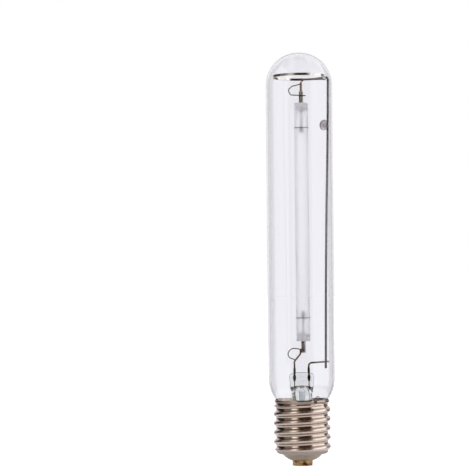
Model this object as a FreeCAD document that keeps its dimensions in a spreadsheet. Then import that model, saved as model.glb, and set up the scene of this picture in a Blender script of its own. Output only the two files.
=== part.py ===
import FreeCAD, Part
import math
import os
import types

import Sketcher

# High pressure sodium lamp with a clear tubular bulb and a large screw cap.
# Millimetres, +Z up, origin at the centre of the contact's bottom face.

SIZES = {
    # Outer bulb
    "bulb_radius": 23.0,
    "bulb_wall": 1.2,
    "bulb_top": 285.0,
    "blend_sink": 4.122,
    "shoulder_radius": 25.0,
    "neck_blend_radius": 6.0,
    "neck_radius": 16.4,
    "neck_foot": 22.0,
    # Stem
    "stem_radius": 7.0,
    "stem_wall": 1.0,
    "seat_rise": 5.5,
    "flare_lip": 1.0,
    "flare_radius": 6.0,
    "pinch_height": 13.5,
    "pinch_spread": 1.6,
    "pinch_crown_inset": 0.7,
    "pinch_half_thick": 2.5,
    "pinch_waist_rise": 4.7,
    "pinch_waist_extra": 1.2,
    "pinch_crown_thin": 0.25,
    "pinch_shoulder": 3.4,
    "exhaust_radius": 1.7,
    "exhaust_wall": 0.5,
    "exhaust_length": 24.0,
    "exhaust_tip_length": 3.4,
    "exhaust_tip_radius": 4.25,
    # Lead wires
    "lead_spacing": 9.8,
    "lead_radius": 0.6,
    "lead_depth": 1.4,
    "bead_radius": 1.0,
    "bead_length": 4.6,
    "seal_radius": 0.3,
    "outer_lead_radius": 0.45,
    "elbow_rise": 7.6,
    "lead_dip": 0.8,
    "lead_lap": 2.4,
    "side_arm_rise": 6.4,
    "side_arm_slope": 0.9,
    "side_arm_overrun": 2.3,
    "bend_radius": 2.2,
    "weld_gap": 0.02,
    # Side rod, ring and wires in the dome
    "rod_radius": 0.75,
    "rod_lean": 3.55,
    "rod_foot_rise": 2.6,
    "rod_inset": 1.45,
    "rod_hook_radius": 1.5,
    "ring_inset": 2.15,
    "ring_strip": 0.35,
    "ring_drop": 17.7,
    "ring_height": 0.95,
    "cross_radius": 0.55,
    "cross_bend_radius": 2.0,
    "cross_reach": 5.3,
    "flex_radius": 0.35,
    "flex_bulge": 8.9,
    "flex_bend_radius": 1.3,
    "flex_tail_reach": 0.4,
    "flex_tail_rise": 5.4,
    "flex_crest_inset": 2.6,
    "flex_crest_rise": 3.6,
    "flex_side_rise": 1.0,
    "flex_foot_inset": 1.6,
    "flex_foot_drop": 2.4,
    "flex_lap_reach": 3.2,
    "flex_lap_drop": 3.0,
    "slack_bulge": 2.3,
    "slack_bend_radius": 1.5,
    "slack_lap_reach": 0.8,
    "slack_lap_rise": 2.0,
    "slack_crest_inset": 3.0,
    "slack_crest_rise": 3.1,
    "slack_side_drop": 1.2,
    "slack_foot_inset": 2.4,
    "slack_foot_drop": 4.4,
    "slack_tail_reach": 2.6,
    "slack_tail_drop": 7.2,
    # Arc tube
    "arc_offset": 1.4,
    "arc_radius": 4.75,
    "arc_wall": 0.8,
    "arc_rise": 21.5,
    "arc_drop": 35.0,
    "plug_length": 5.0,
    "feed_radius": 1.45,
    "feed_wall": 0.5,
    "feed_reach": 8.0,
    "feed_inside": 0.9,
    "frit_height": 0.5,
    "frit_spread": 0.9,
    "electrode_radius": 0.5,
    "electrode_collar": 2.0,
    "electrode_tip": 15.0,
    "coil_radius": 1.3,
    "coil_pitch": 0.8,
    "coil_setback": 0.8,
    "coil_groove": 0.3,
    "amalgam_radius": 0.75,
    "amalgam_place": 2.4,
    # Starting aid
    "aid_radius": 0.2,
    "aid_drop": 17.2,
    "aid_rise": 16.0,
    "aid_azimuth": 40.0,
    "aid_loop_angle": 335.0,
    "aid_bend_radius": 0.9,
    # Getter
    "getter_radius": 3.7,
    "getter_depth": 1.5,
    "getter_inset": 2.17,
    "getter_drop": 32.5,
    "getter_skin": 0.3,
    "getter_hub": 1.5,
    "strap_thick": 0.3,
    "strap_width": 2.0,
    "strap_length": 4.4,
    # Screw shell
    "cement_gap": 1.05,
    "thread_height": 1.8,
    "thread_pitch": 6.35,
    "crest_land": 1.5,
    "root_land": 1.5,
    "thread_first_height": 6.9,
    "run_out": 1.8,
    "ridge_sink": 0.2,
    "trim_sink": 0.3,
    "trim_margin": 2.0,
    "shell_wall": 0.5,
    "rim_step": 1.3,
    "rim_height": 45.0,
    "rim_depth": 2.4,
    "rim_neck": 0.4,
    "rim_flare": 1.2,
    "turn_in_start": 10.2,
    "turn_in_radius": 2.0,
    "turn_in_angle": 75.0,
    "turn_in_reach": 4.05,
    # Insulator and contact
    "vitrite_ledge": 0.4,
    "vitrite_bowl_radius": 11.0,
    "vitrite_top": 12.8,
    "contact_height": 3.7,
    "contact_radius": 7.3,
    "contact_taper": 0.4,
    "contact_edge": 0.5,
    "collar_gap": 0.8,
    "spigot_radius": 3.0,
    "spigot_top": 9.0,
    "wire_hole": 1.0,
    "dimple_radius": 3.2,
    "dimple_depth": 1.3,
    "solder_recess": 0.35,
    "solder_crown": 0.28,
    # Cement, side wire and solder
    "cement_rise": 6.0,
    "cement_drop": 0.5,
    "side_azimuth": -66.0,
    "side_wire_radius": 0.25,
    "side_bend_radius": 0.8,
    "side_wire_clear": 0.25,
    "side_loop_rise": 3.3,
    "side_loop_angle": 11.0,
    "side_tail_angle": 3.0,
    "side_wire_drop": 0.8,
    "wire_turn_drop": 3.0,
    "wire_turn_rise": 2.0,
    "solder_drop": 1.3,
    "sleeve_radius": 1.0,
    "sleeve_wall": 0.4,
    "sleeve_length": 16.0,
    "sleeve_drop": 2.5,
}


COIL_TURNS = 5


class Size:
    """A length that keeps its value together with the sheet formula that gives it."""

    def __init__(self, value, formula):
        self.value = value
        self.formula = formula

    def __add__(self, other):
        other = as_size(other)
        return Size(self.value + other.value, "(" + self.formula + " + " + other.formula + ")")

    def __sub__(self, other):
        other = as_size(other)
        return Size(self.value - other.value, "(" + self.formula + " - " + other.formula + ")")

    def __mul__(self, other):
        other = as_size(other)
        return Size(self.value * other.value, "(" + self.formula + " * " + other.formula + ")")

    def __truediv__(self, other):
        other = as_size(other)
        return Size(self.value / other.value, "(" + self.formula + " / " + other.formula + ")")

    def __radd__(self, other):
        return as_size(other) + self

    def __rsub__(self, other):
        return as_size(other) - self

    def __rmul__(self, other):
        return as_size(other) * self

    def __neg__(self):
        return 0 - self


def as_size(thing):
    """A plain number becomes a size with no sheet cell behind it."""
    if isinstance(thing, Size):
        return thing
    return Size(float(thing), "(" + repr(float(thing)) + ")")


def root(size):
    """Square root of a size."""
    return Size(math.sqrt(size.value), "sqrt(" + size.formula + ")")


def cosine(angle):
    """Cosine of an angle given in degrees."""
    return Size(math.cos(math.radians(angle.value)), "cos(" + angle.formula + ")")


def sine(angle):
    """Sine of an angle given in degrees."""
    return Size(math.sin(math.radians(angle.value)), "sin(" + angle.formula + ")")


doc = FreeCAD.newDocument("SodiumLamp")
sheet = doc.addObject("Spreadsheet::Sheet", "Sizes")
S = types.SimpleNamespace()
for row, (alias, number) in enumerate(SIZES.items(), start=1):
    sheet.set("A" + str(row), alias)
    sheet.set("B" + str(row), str(number))
    sheet.setAlias("B" + str(row), alias)
    setattr(S, alias, Size(number, "Sizes." + alias))
doc.recompute()

nodes = []


def node(thing, name):
    """Give a finished sub-part its own name."""
    thing.Label = name
    nodes.append(thing)
    return thing


def bind(thing, path, size):
    """Tie one property of an object to the sheet."""
    thing.setExpression(path, as_size(size).formula)


def plane_sketch(body, name, role):
    """A sketch lying on one of the body's own origin planes."""
    planes = [feature for feature in body.Origin.OriginFeatures if feature.Role == role]
    sketch = body.newObject("Sketcher::SketchObject", name)
    sketch.AttachmentSupport = [(planes[0], "")]
    sketch.MapMode = "FlatFace"
    return sketch


def arc_between(start, end, radius, left):
    """Short arc from start to end with its centre to the left or right of the way along."""
    chord = end - start
    middle = (start + end) * 0.5
    height = math.sqrt(max(radius * radius - chord.Length ** 2 / 4, 0.0))
    across = FreeCAD.Vector(-chord.y, chord.x, 0) / chord.Length
    centre = middle + across * (height if left else -height)
    first, last = (start, end) if left else (end, start)
    begin = math.atan2(first.y - centre.y, first.x - centre.x)
    finish = math.atan2(last.y - centre.y, last.x - centre.x)
    if finish < begin:
        finish += 2 * math.pi
    circle = Part.Circle(centre, FreeCAD.Vector(0, 0, 1), radius)
    return Part.ArcOfCircle(circle, begin, finish)


def outline(sketch, corners, first=0):
    """Closed outline through corners (across, up). A corner may also give the radius of the arc
    that arrives at it and 'left' or 'right' for the side on which that arc's centre lies.
    The edges are numbered from first, and the number after the last one is returned."""
    points = [FreeCAD.Vector(as_size(c[0]).value, as_size(c[1]).value, 0) for c in corners]
    for index, corner in enumerate(corners):
        start = points[index - 1]
        end = points[index]
        if len(corner) == 2:
            sketch.addGeometry(Part.LineSegment(start, end), False)
        else:
            arc = arc_between(start, end, as_size(corner[2]).value, corner[3] == "left")
            sketch.addGeometry(arc, False)

    def tip(index, last):
        """Vertex number of an edge's first or last point in the direction of travel."""
        corner = corners[index]
        backwards = len(corner) == 4 and corner[3] == "right"
        return 1 if last == backwards else 2

    def fix(kind, index, size):
        """Hold one coordinate of an edge's last point at a sheet formula."""
        size = as_size(size)
        end = tip(index, True)
        if abs(size.value) < 1e-9:
            axis = -2 if kind == "DistanceX" else -1
            sketch.addConstraint(Sketcher.Constraint("PointOnObject", first + index, end, axis))
            return
        number = sketch.addConstraint(Sketcher.Constraint(kind, first + index, end, size.value))
        sketch.setExpression("Constraints[" + str(number) + "]", size.formula)

    for index, corner in enumerate(corners):
        following = (index + 1) % len(corners)
        tips = (first + index, tip(index, True), first + following, tip(following, False))
        sketch.addConstraint(Sketcher.Constraint("Coincident", *tips))
        fix("DistanceX", index, corner[0])
        fix("DistanceY", index, corner[1])
        if len(corner) == 4:
            radius = as_size(corner[2])
            number = sketch.addConstraint(Sketcher.Constraint("Radius", first + index, radius.value))
            sketch.setExpression("Constraints[" + str(number) + "]", radius.formula)
    return first + len(corners)


def turned(name, corners):
    """A body of revolution about Z, from half of its section."""
    body = doc.addObject("PartDesign::Body", name)
    section = plane_sketch(body, name + "_section", "XZ_Plane")
    outline(section, corners)
    turn = body.newObject("PartDesign::Revolution", name + "_turn")
    turn.Profile = section
    turn.ReferenceAxis = (section, ["V_Axis"])
    turn.Angle = 360
    section.Visibility = False
    return body


def bent_path(points, bend):
    """Straight runs between points, with a tangent arc of the bend radius at each one."""
    edges = []
    here = points[0]
    for before, corner, after in zip(points, points[1:], points[2:]):
        back = (before - corner).normalize()
        ahead = (after - corner).normalize()
        half = back.getAngle(ahead) / 2
        reach = bend / math.tan(half)
        enter = corner + back * reach
        leave = corner + ahead * reach
        middle = corner + (back + ahead).normalize() * (bend / math.sin(half) - bend)
        if (enter - here).Length > 1e-6:
            edges.append(Part.LineSegment(here, enter).toShape())
        edges.append(Part.Arc(enter, middle, leave).toShape())
        here = leave
    edges.append(Part.LineSegment(here, points[-1]).toShape())
    return edges


def wire_shape(edges, radius):
    """Round wire of one radius along a chain of touching edges."""
    spine = Part.Wire(edges)
    start = edges[0].Vertexes[0].Point
    heading = edges[0].tangentAt(edges[0].FirstParameter)
    ring = Part.Wire([Part.Circle(start, heading, radius).toShape()])
    return spine.makePipeShell([ring], True, False)


def bent_wire(name, points, bend, radius):
    """One bent wire, with its points already worked out from the sheet."""
    wire = doc.addObject("Part::Feature", name)
    wire.Shape = wire_shape(bent_path(points, bend), radius)
    return node(wire, name)


def vec(across, depth, up):
    """Point from three sizes or numbers."""
    return FreeCAD.Vector(as_size(across).value, as_size(depth).value, as_size(up).value)


# Outer bulb: straight wall, round dome, shoulder arc and reversed arc into the neck

dome_centre = S.bulb_top - S.bulb_radius
bulb_bore = S.bulb_radius - S.bulb_wall
neck_bore = S.neck_radius - S.bulb_wall
shoulder_x = S.bulb_radius - S.shoulder_radius
blend_x = S.neck_radius + S.neck_blend_radius
blend_run = blend_x - shoulder_x
blend_sum = S.shoulder_radius + S.neck_blend_radius
blend_drop = root(blend_sum * blend_sum - blend_run * blend_run)
blend_z = S.rim_height - S.blend_sink
shoulder_top = blend_z + blend_drop


def shoulder_point(radius):
    """Where the shoulder arc of this radius meets the reversed neck arc."""
    share = radius / blend_sum
    return shoulder_x + blend_run * share, shoulder_top - blend_drop * share


outer_meet = shoulder_point(S.shoulder_radius)
inner_meet = shoulder_point(S.shoulder_radius - S.bulb_wall)
outer_envelope = turned(
    "outer_envelope",
    [
        (0, S.bulb_top),
        (S.bulb_radius, dome_centre, S.bulb_radius, "right"),
        (S.bulb_radius, shoulder_top),
        (outer_meet[0], outer_meet[1], S.shoulder_radius, "right"),
        (S.neck_radius, blend_z, S.neck_blend_radius, "left"),
        (S.neck_radius, S.neck_foot),
        (neck_bore, S.neck_foot),
        (neck_bore, blend_z),
        (inner_meet[0], inner_meet[1], S.neck_blend_radius + S.bulb_wall, "right"),
        (bulb_bore, shoulder_top, S.shoulder_radius - S.bulb_wall, "left"),
        (bulb_bore, dome_centre),
        (0, dome_centre + bulb_bore, bulb_bore, "left"),
    ],
)
node(outer_envelope, "outer_envelope")

# Stem: a round tube that flares out to the bulb's rim, and a flat pinch lofted on top of it

stem_bore = S.stem_radius - S.stem_wall
flare_foot = S.neck_foot - S.flare_lip
stem_seat = S.rim_height + S.seat_rise
pinch_top = stem_seat + S.pinch_height
stem_tube = turned(
    "stem_tube",
    [
        (S.stem_radius, stem_seat),
        (S.stem_radius, S.neck_foot + S.flare_radius),
        (S.stem_radius + S.flare_radius, S.neck_foot, S.flare_radius, "left"),
        (S.neck_radius, S.neck_foot),
        (S.neck_radius, flare_foot),
        (stem_bore + S.flare_radius + S.stem_wall, flare_foot),
        (stem_bore, S.neck_foot + S.flare_radius, S.flare_radius + S.flare_lip, "right"),
        (stem_bore, stem_seat),
    ],
)


def pinch_section(name, wide, thick, up):
    """One flattened section of the pinch."""
    section = doc.addObject("Part::Ellipse", name)
    bind(section, "MajorRadius", wide)
    bind(section, "MinorRadius", thick)
    bind(section, "Placement.Base.z", up)
    return section


pinch_crest = pinch_top - S.pinch_shoulder
pinch_waist = stem_seat + S.pinch_waist_rise
pinch_wide = S.stem_radius + S.pinch_spread
pinch_thick = S.pinch_half_thick + S.pinch_waist_extra
pinch_thin = S.pinch_half_thick - S.pinch_crown_thin
pinch = doc.addObject("Part::Loft", "pinch")
pinch.Sections = [
    pinch_section("pinch_seat", S.stem_radius, S.stem_radius, stem_seat),
    pinch_section("pinch_waist", (S.stem_radius + pinch_wide) / 2, pinch_thick, pinch_waist),
    pinch_section("pinch_crest", pinch_wide, S.pinch_half_thick, pinch_crest),
    pinch_section("pinch_crown", S.stem_radius - S.pinch_crown_inset, pinch_thin, pinch_top),
]
pinch.Solid = True
pinch.Ruled = True

# Seal wires: a lens-shaped bead under each lead and a thin wire down through the pinch

lead_x = S.lead_spacing / 2
lead_foot = pinch_top - S.lead_depth
bead_mid = lead_foot - S.bead_length / 2
bead_foot = lead_foot - S.bead_length
bead_rise = S.bead_radius - S.lead_radius
bead_arc = (S.bead_length * S.bead_length / 4 + bead_rise * bead_rise) / (bead_rise * 2)
seal_wires = []
for side, sign in (("left", -1), ("right", 1)):
    seal_wire = turned(
        side + "_seal_wire",
        [
            (0, lead_foot),
            (S.lead_radius, lead_foot),
            (S.bead_radius, bead_mid, bead_arc, "right"),
            (S.seal_radius, bead_foot),
            (S.seal_radius, stem_seat),
            (0, stem_seat),
        ],
    )
    bind(seal_wire, "Placement.Base.x", lead_x * sign)
    seal_wires.append(node(seal_wire, side + "_seal_wire"))

# Leads above the pinch

arc_foot = pinch_top + S.arc_rise
arc_top = S.bulb_top - S.arc_drop
feed_left = S.arc_offset - S.feed_radius
feed_foot = arc_foot - S.feed_reach
feed_top = arc_top + S.feed_reach
lap_x = feed_left - S.lead_radius - S.weld_gap
lower_support_lead = bent_wire(
    "lower_support_lead",
    [
        vec(-lead_x, 0, lead_foot),
        vec(-lead_x, 0, pinch_top + S.elbow_rise),
        vec(lap_x, 0, feed_foot - S.lead_dip),
        vec(lap_x, 0, feed_foot + S.lead_lap),
    ],
    S.bend_radius.value,
    S.lead_radius.value,
)

ring_foot = S.bulb_top - S.ring_drop
rod_top_x = bulb_bore - S.rod_inset
rod_foot_x = rod_top_x - S.rod_lean
rod_foot = pinch_top + S.rod_foot_rise
rod_top = ring_foot + S.ring_height / 2
arm_foot = pinch_top + S.side_arm_rise
arm_top = arm_foot + S.side_arm_slope
arm_share = (arm_top - rod_foot) / (rod_top - rod_foot)
rod_side = (S.rod_radius + S.lead_radius + S.weld_gap * 2) / (1 - arm_share)
frame_lead = bent_wire(
    "frame_lead",
    [
        vec(lead_x, 0, lead_foot),
        vec(lead_x, 0, arm_foot),
        vec(rod_foot_x + S.side_arm_overrun, 0, arm_top),
    ],
    S.bend_radius.value,
    S.lead_radius.value,
)

# The glass of the stem is the loft and the tube in one, cut by the wires that it holds

stem_glass = doc.addObject("Part::MultiFuse", "stem_glass")
stem_glass.Shapes = [stem_tube, pinch]
held_wires = doc.addObject("Part::Compound", "held_wires")
held_wires.Links = seal_wires + [lower_support_lead, frame_lead]
stem_flare = doc.addObject("Part::Cut", "stem_flare")
stem_flare.Base = stem_glass
stem_flare.Tool = held_wires
node(stem_flare, "stem_flare")

exhaust_bore = S.exhaust_radius - S.exhaust_wall
exhaust_foot = stem_seat - S.exhaust_length
exhaust_tube = turned(
    "exhaust_tube",
    [
        (S.exhaust_radius, stem_seat),
        (S.exhaust_radius, exhaust_foot + S.exhaust_tip_length),
        (S.exhaust_wall, exhaust_foot, S.exhaust_tip_radius, "right"),
        (0, exhaust_foot),
        (0, exhaust_foot + S.exhaust_radius),
        (exhaust_bore, exhaust_foot + S.exhaust_tip_length),
        (exhaust_bore, stem_seat),
    ],
)
node(exhaust_tube, "exhaust_tube")

# Ring in the dome, side rod with its hooked top, and the wire across to the upper feed tube

ring_radius = rod_top_x - S.ring_inset
dome_ring = turned(
    "dome_ring",
    [
        (ring_radius, ring_foot),
        (ring_radius, ring_foot + S.ring_height),
        (ring_radius - S.ring_strip, ring_foot + S.ring_height),
        (ring_radius - S.ring_strip, ring_foot),
    ],
)
node(dome_ring, "dome_ring")

frame_rod = bent_wire(
    "frame_rod",
    [
        vec(rod_foot_x, -rod_side, rod_foot),
        vec(rod_top_x, 0, rod_top),
        vec(ring_radius + S.weld_gap, 0, rod_top),
    ],
    S.rod_hook_radius.value,
    S.rod_radius.value,
)

cross_z = rod_top - S.rod_radius - S.cross_radius - S.weld_gap
cross_foot = feed_top - S.cross_reach
top_cross_wire = bent_wire(
    "top_cross_wire",
    [
        vec(rod_top_x - S.rod_hook_radius, 0, cross_z),
        vec(S.arc_offset, 0, cross_z),
        vec(S.arc_offset, 0, cross_foot),
    ],
    S.cross_bend_radius.value,
    S.cross_radius.value,
)

# Thin looped wires that carry the current past each loose joint

flex_near = -(S.cross_radius + S.flex_radius + S.weld_gap)
flex_far = -(S.feed_radius + S.flex_radius + S.weld_gap)
flex_out = S.arc_offset - S.flex_bulge
upper_flex_wire = bent_wire(
    "upper_flex_wire",
    [
        vec(S.arc_offset + S.flex_tail_reach, flex_near, feed_top + S.flex_tail_rise),
        vec(flex_out + S.flex_crest_inset, flex_near, feed_top + S.flex_crest_rise),
        vec(flex_out, (flex_near + flex_far) / 2, feed_top + S.flex_side_rise),
        vec(flex_out + S.flex_foot_inset, flex_far, feed_top - S.flex_foot_drop),
        vec(S.arc_offset + S.flex_lap_reach, flex_far, feed_top - S.flex_lap_drop),
    ],
    S.flex_bend_radius.value,
    S.flex_radius.value,
)

lead_near = -(S.lead_radius + S.flex_radius + S.weld_gap)
flex_out_low = flex_out - S.slack_bulge
lower_flex_wire = bent_wire(
    "lower_flex_wire",
    [
        vec(S.arc_offset + S.slack_lap_reach, flex_far, feed_foot + S.slack_lap_rise),
        vec(flex_out_low + S.slack_crest_inset, flex_far, feed_foot + S.slack_crest_rise),
        vec(flex_out_low, (lead_near + flex_far) / 2, feed_foot - S.slack_side_drop),
        vec(flex_out_low + S.slack_foot_inset, lead_near, feed_foot - S.slack_foot_drop),
        vec(S.arc_offset - S.slack_tail_reach, lead_near, feed_foot - S.slack_tail_drop),
    ],
    S.slack_bend_radius.value,
    S.flex_radius.value,
)

# Arc tube with its plugs, feed tubes, frit, electrodes and a drop of amalgam

arc_bore = S.arc_radius - S.arc_wall
feed_bore = S.feed_radius - S.feed_wall
coil_valley = S.coil_radius - S.coil_groove
arc_tube = turned(
    "arc_tube",
    [
        (S.arc_radius, arc_foot),
        (S.arc_radius, arc_top),
        (arc_bore, arc_top),
        (arc_bore, arc_foot),
    ],
)
bind(arc_tube, "Placement.Base.x", S.arc_offset)
node(arc_tube, "arc_tube")

for end, face, inward in (("upper", arc_top, -1), ("lower", arc_foot, 1)):
    plug_face = face + S.plug_length * inward
    feed_outside = face - S.feed_reach * inward
    feed_end = plug_face + S.feed_inside * inward
    collar_start = feed_end - S.electrode_collar * inward
    tip = feed_end + S.electrode_tip * inward
    coil_end = tip - S.coil_setback * inward
    plug = turned(
        end + "_end_plug",
        [
            (S.feed_radius, face),
            (arc_bore, face),
            (arc_bore, plug_face),
            (S.feed_radius, plug_face),
        ],
    )
    feed = turned(
        end + "_niobium_tube",
        [
            (feed_bore, feed_outside),
            (S.feed_radius, feed_outside),
            (S.feed_radius, feed_end),
            (feed_bore, feed_end),
        ],
    )
    frit = turned(
        end + "_frit_seal",
        [
            (S.feed_radius, face),
            (S.feed_radius + S.frit_spread, face),
            (S.feed_radius, face - S.frit_height * inward),
        ],
    )
    rod = turned(
        end + "_electrode_rod",
        [
            (0, collar_start),
            (feed_bore, collar_start),
            (feed_bore, feed_end),
            (S.electrode_radius, feed_end),
            (S.electrode_radius, tip),
            (0, tip),
        ],
    )
    windings = [(S.electrode_radius, coil_end)]
    for number in range(COIL_TURNS):
        start = coil_end - S.coil_pitch * (number * inward)
        windings.append((coil_valley, start))
        windings.append((S.coil_radius, start - S.coil_pitch / 2 * inward))
    last = coil_end - S.coil_pitch * (COIL_TURNS * inward)
    windings.append((coil_valley, last))
    windings.append((S.electrode_radius, last))
    coil = turned(end + "_electrode_coil", windings)
    for piece, name in (
        (plug, "_end_plug"),
        (feed, "_niobium_tube"),
        (frit, "_frit_seal"),
        (rod, "_electrode_rod"),
        (coil, "_electrode_coil"),
    ):
        bind(piece, "Placement.Base.x", S.arc_offset)
        node(piece, end + name)

lower_plug_face = arc_foot + S.plug_length
amalgam_bead = turned(
    "amalgam_bead",
    [
        (S.amalgam_radius, lower_plug_face),
        (0, lower_plug_face + S.amalgam_radius, S.amalgam_radius, "left"),
        (0, lower_plug_face),
    ],
)
bind(amalgam_bead, "Placement.Base.x", S.arc_offset - S.amalgam_place)
node(amalgam_bead, "amalgam_bead")

# Starting aid: a loop round each end of the arc tube, joined by a straight wire behind it


def aid_point(angle, up):
    """Point of the starting aid at an angle round the arc tube."""
    radius = S.arc_radius.value + S.aid_radius.value + S.weld_gap.value
    turn = math.radians(angle)
    across = S.arc_offset.value + radius * math.cos(turn)
    return FreeCAD.Vector(across, radius * math.sin(turn), up)


def aid_loop(up):
    """Open loop that ends at the azimuth of the straight wire."""
    end = S.aid_azimuth.value
    start = end - S.aid_loop_angle.value
    middle = (start + end) / 2
    return Part.Arc(aid_point(start, up), aid_point(middle, up), aid_point(end, up)).toShape()


turn = math.radians(S.aid_azimuth.value)
aid_heading = FreeCAD.Vector(-math.sin(turn), math.cos(turn), 0)
aid_bend = S.aid_bend_radius.value
aid_high = (arc_top - S.aid_drop).value
aid_low = (arc_foot + S.aid_rise).value
upper_end = aid_point(S.aid_azimuth.value, aid_high)
lower_end = aid_point(S.aid_azimuth.value, aid_low)
down = FreeCAD.Vector(0, 0, -1)
upper_turned = upper_end + aid_heading * aid_bend + down * aid_bend
lower_turned = lower_end + aid_heading * aid_bend - down * aid_bend
corner_share = 1 - math.sqrt(0.5)
upper_mid = upper_end + aid_heading * (aid_bend * math.sqrt(0.5)) + down * (aid_bend * corner_share)
lower_mid = lower_end + aid_heading * (aid_bend * math.sqrt(0.5)) - down * (aid_bend * corner_share)
aid_edges = [
    aid_loop(aid_high),
    Part.Arc(upper_end, upper_mid, upper_turned).toShape(),
    Part.LineSegment(upper_turned, lower_turned).toShape(),
    Part.Arc(lower_turned, lower_mid, lower_end).toShape(),
    aid_loop(aid_low),
]
starting_aid_wire = doc.addObject("Part::Feature", "starting_aid_wire")
starting_aid_wire.Shape = wire_shape(aid_edges, S.aid_radius.value)
node(starting_aid_wire, "starting_aid_wire")

# Getter: a shallow ring-shaped cup behind the rod, on a small strap

getter_disc = turned(
    "getter_disc",
    [
        (0, 0),
        (S.getter_radius, 0),
        (S.getter_radius, S.getter_depth),
        (S.getter_radius - S.getter_skin, S.getter_depth),
        (S.getter_radius - S.getter_skin, S.getter_skin),
        (S.getter_hub + S.getter_skin, S.getter_skin),
        (S.getter_hub, S.getter_depth),
        (0, S.getter_depth),
    ],
)
getter_z = ring_foot - S.getter_drop
rod_share = (getter_z - rod_foot) / (rod_top - rod_foot)
rod_x_here = rod_foot_x + (rod_top_x - rod_foot_x) * rod_share
rod_y_here = -rod_side * (1 - rod_share)
strap_y = rod_y_here + S.rod_radius + S.weld_gap
getter_disc.Placement.Rotation = FreeCAD.Rotation(FreeCAD.Vector(1, 0, 0), 90)
bind(getter_disc, "Placement.Base.x", rod_x_here - S.getter_inset)
bind(getter_disc, "Placement.Base.y", strap_y + S.strap_thick + S.getter_depth)
bind(getter_disc, "Placement.Base.z", getter_z)
node(getter_disc, "getter_disc")

getter_strap = doc.addObject("Part::Box", "getter_strap")
bind(getter_strap, "Length", S.strap_length)
bind(getter_strap, "Width", S.strap_thick)
bind(getter_strap, "Height", S.strap_width)
bind(getter_strap, "Placement.Base.x", rod_x_here + S.rod_radius - S.strap_length)
bind(getter_strap, "Placement.Base.y", strap_y)
bind(getter_strap, "Placement.Base.z", getter_z - S.strap_width / 2)
node(getter_strap, "getter_strap")

# Screw shell: a rolled sheet with a raised right-hand thread, hollow behind each crest

shell_bore = S.neck_radius + S.cement_gap
root_radius = shell_bore + S.shell_wall
rim_radius = root_radius + S.rim_step
turn_in_mouth = root_radius - S.turn_in_reach
crest_radius = root_radius + S.thread_height
barrel_top = S.rim_height - S.rim_depth
ridge_base = (S.thread_pitch - S.root_land) / 2
ridge_crest = S.crest_land / 2
flank = (ridge_base - ridge_crest) / S.thread_height
sheet_shift = S.shell_wall * (root(flank * flank + 1) - flank)
thread_start = S.turn_in_start + S.rim_neck
thread_end = barrel_top - S.rim_neck
clear = S.thread_pitch * 2
trim_far = crest_radius + S.trim_margin
trim_near = root_radius - S.trim_sink
trim_share = S.trim_sink / S.thread_height
hollow_start = S.thread_first_height + S.thread_pitch
hollow_rise = thread_end - S.run_out - hollow_start - S.shell_wall


def add_turned(body, kind, name, outlines):
    """Add or take away a turned region of a body."""
    section = plane_sketch(body, name + "_section", "XZ_Plane")
    first = 0
    for corners in outlines:
        first = outline(section, corners, first)
    turn = body.newObject(kind, name)
    turn.Profile = section
    turn.ReferenceAxis = (section, ["V_Axis"])
    turn.Angle = 360
    section.Visibility = False


def helical(body, kind, name, half_base, half_crest, inner, outer, start, rise):
    """Sweep a trapezoid along the thread, standing on the inner radius at height start."""
    section = plane_sketch(body, name + "_section", "XZ_Plane")
    outline(
        section,
        [
            (inner, start - half_base),
            (outer, start - half_crest),
            (outer, start + half_crest),
            (inner, start + half_base),
        ],
        0,
    )
    doc.recompute()
    sweep = body.newObject(kind, name)
    sweep.Profile = section
    sweep.ReferenceAxis = (section, ["V_Axis"])
    sweep.Mode = "pitch-height-angle"
    bind(sweep, "Pitch", S.thread_pitch)
    bind(sweep, "Height", rise)
    sweep.Angle = 0
    sweep.LeftHanded = False
    section.Visibility = False


turn_in_sine = sine(S.turn_in_angle)
turn_in_cosine = cosine(S.turn_in_angle)
turn_in_centre = root_radius - S.turn_in_radius
turn_in_bore = S.turn_in_radius - S.shell_wall
outer_bend_x = turn_in_centre + S.turn_in_radius * turn_in_cosine
outer_bend_z = S.turn_in_start - S.turn_in_radius * turn_in_sine
inner_bend_x = turn_in_centre + turn_in_bore * turn_in_cosine
inner_bend_z = S.turn_in_start - turn_in_bore * turn_in_sine
mouth_z = outer_bend_z - (outer_bend_x - turn_in_mouth) * turn_in_cosine / turn_in_sine
inner_mouth_x = turn_in_mouth - S.shell_wall * turn_in_cosine
inner_mouth_z = mouth_z + S.shell_wall * turn_in_sine
flare_top = barrel_top + S.rim_flare
lip_bore = rim_radius - S.shell_wall

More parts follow.
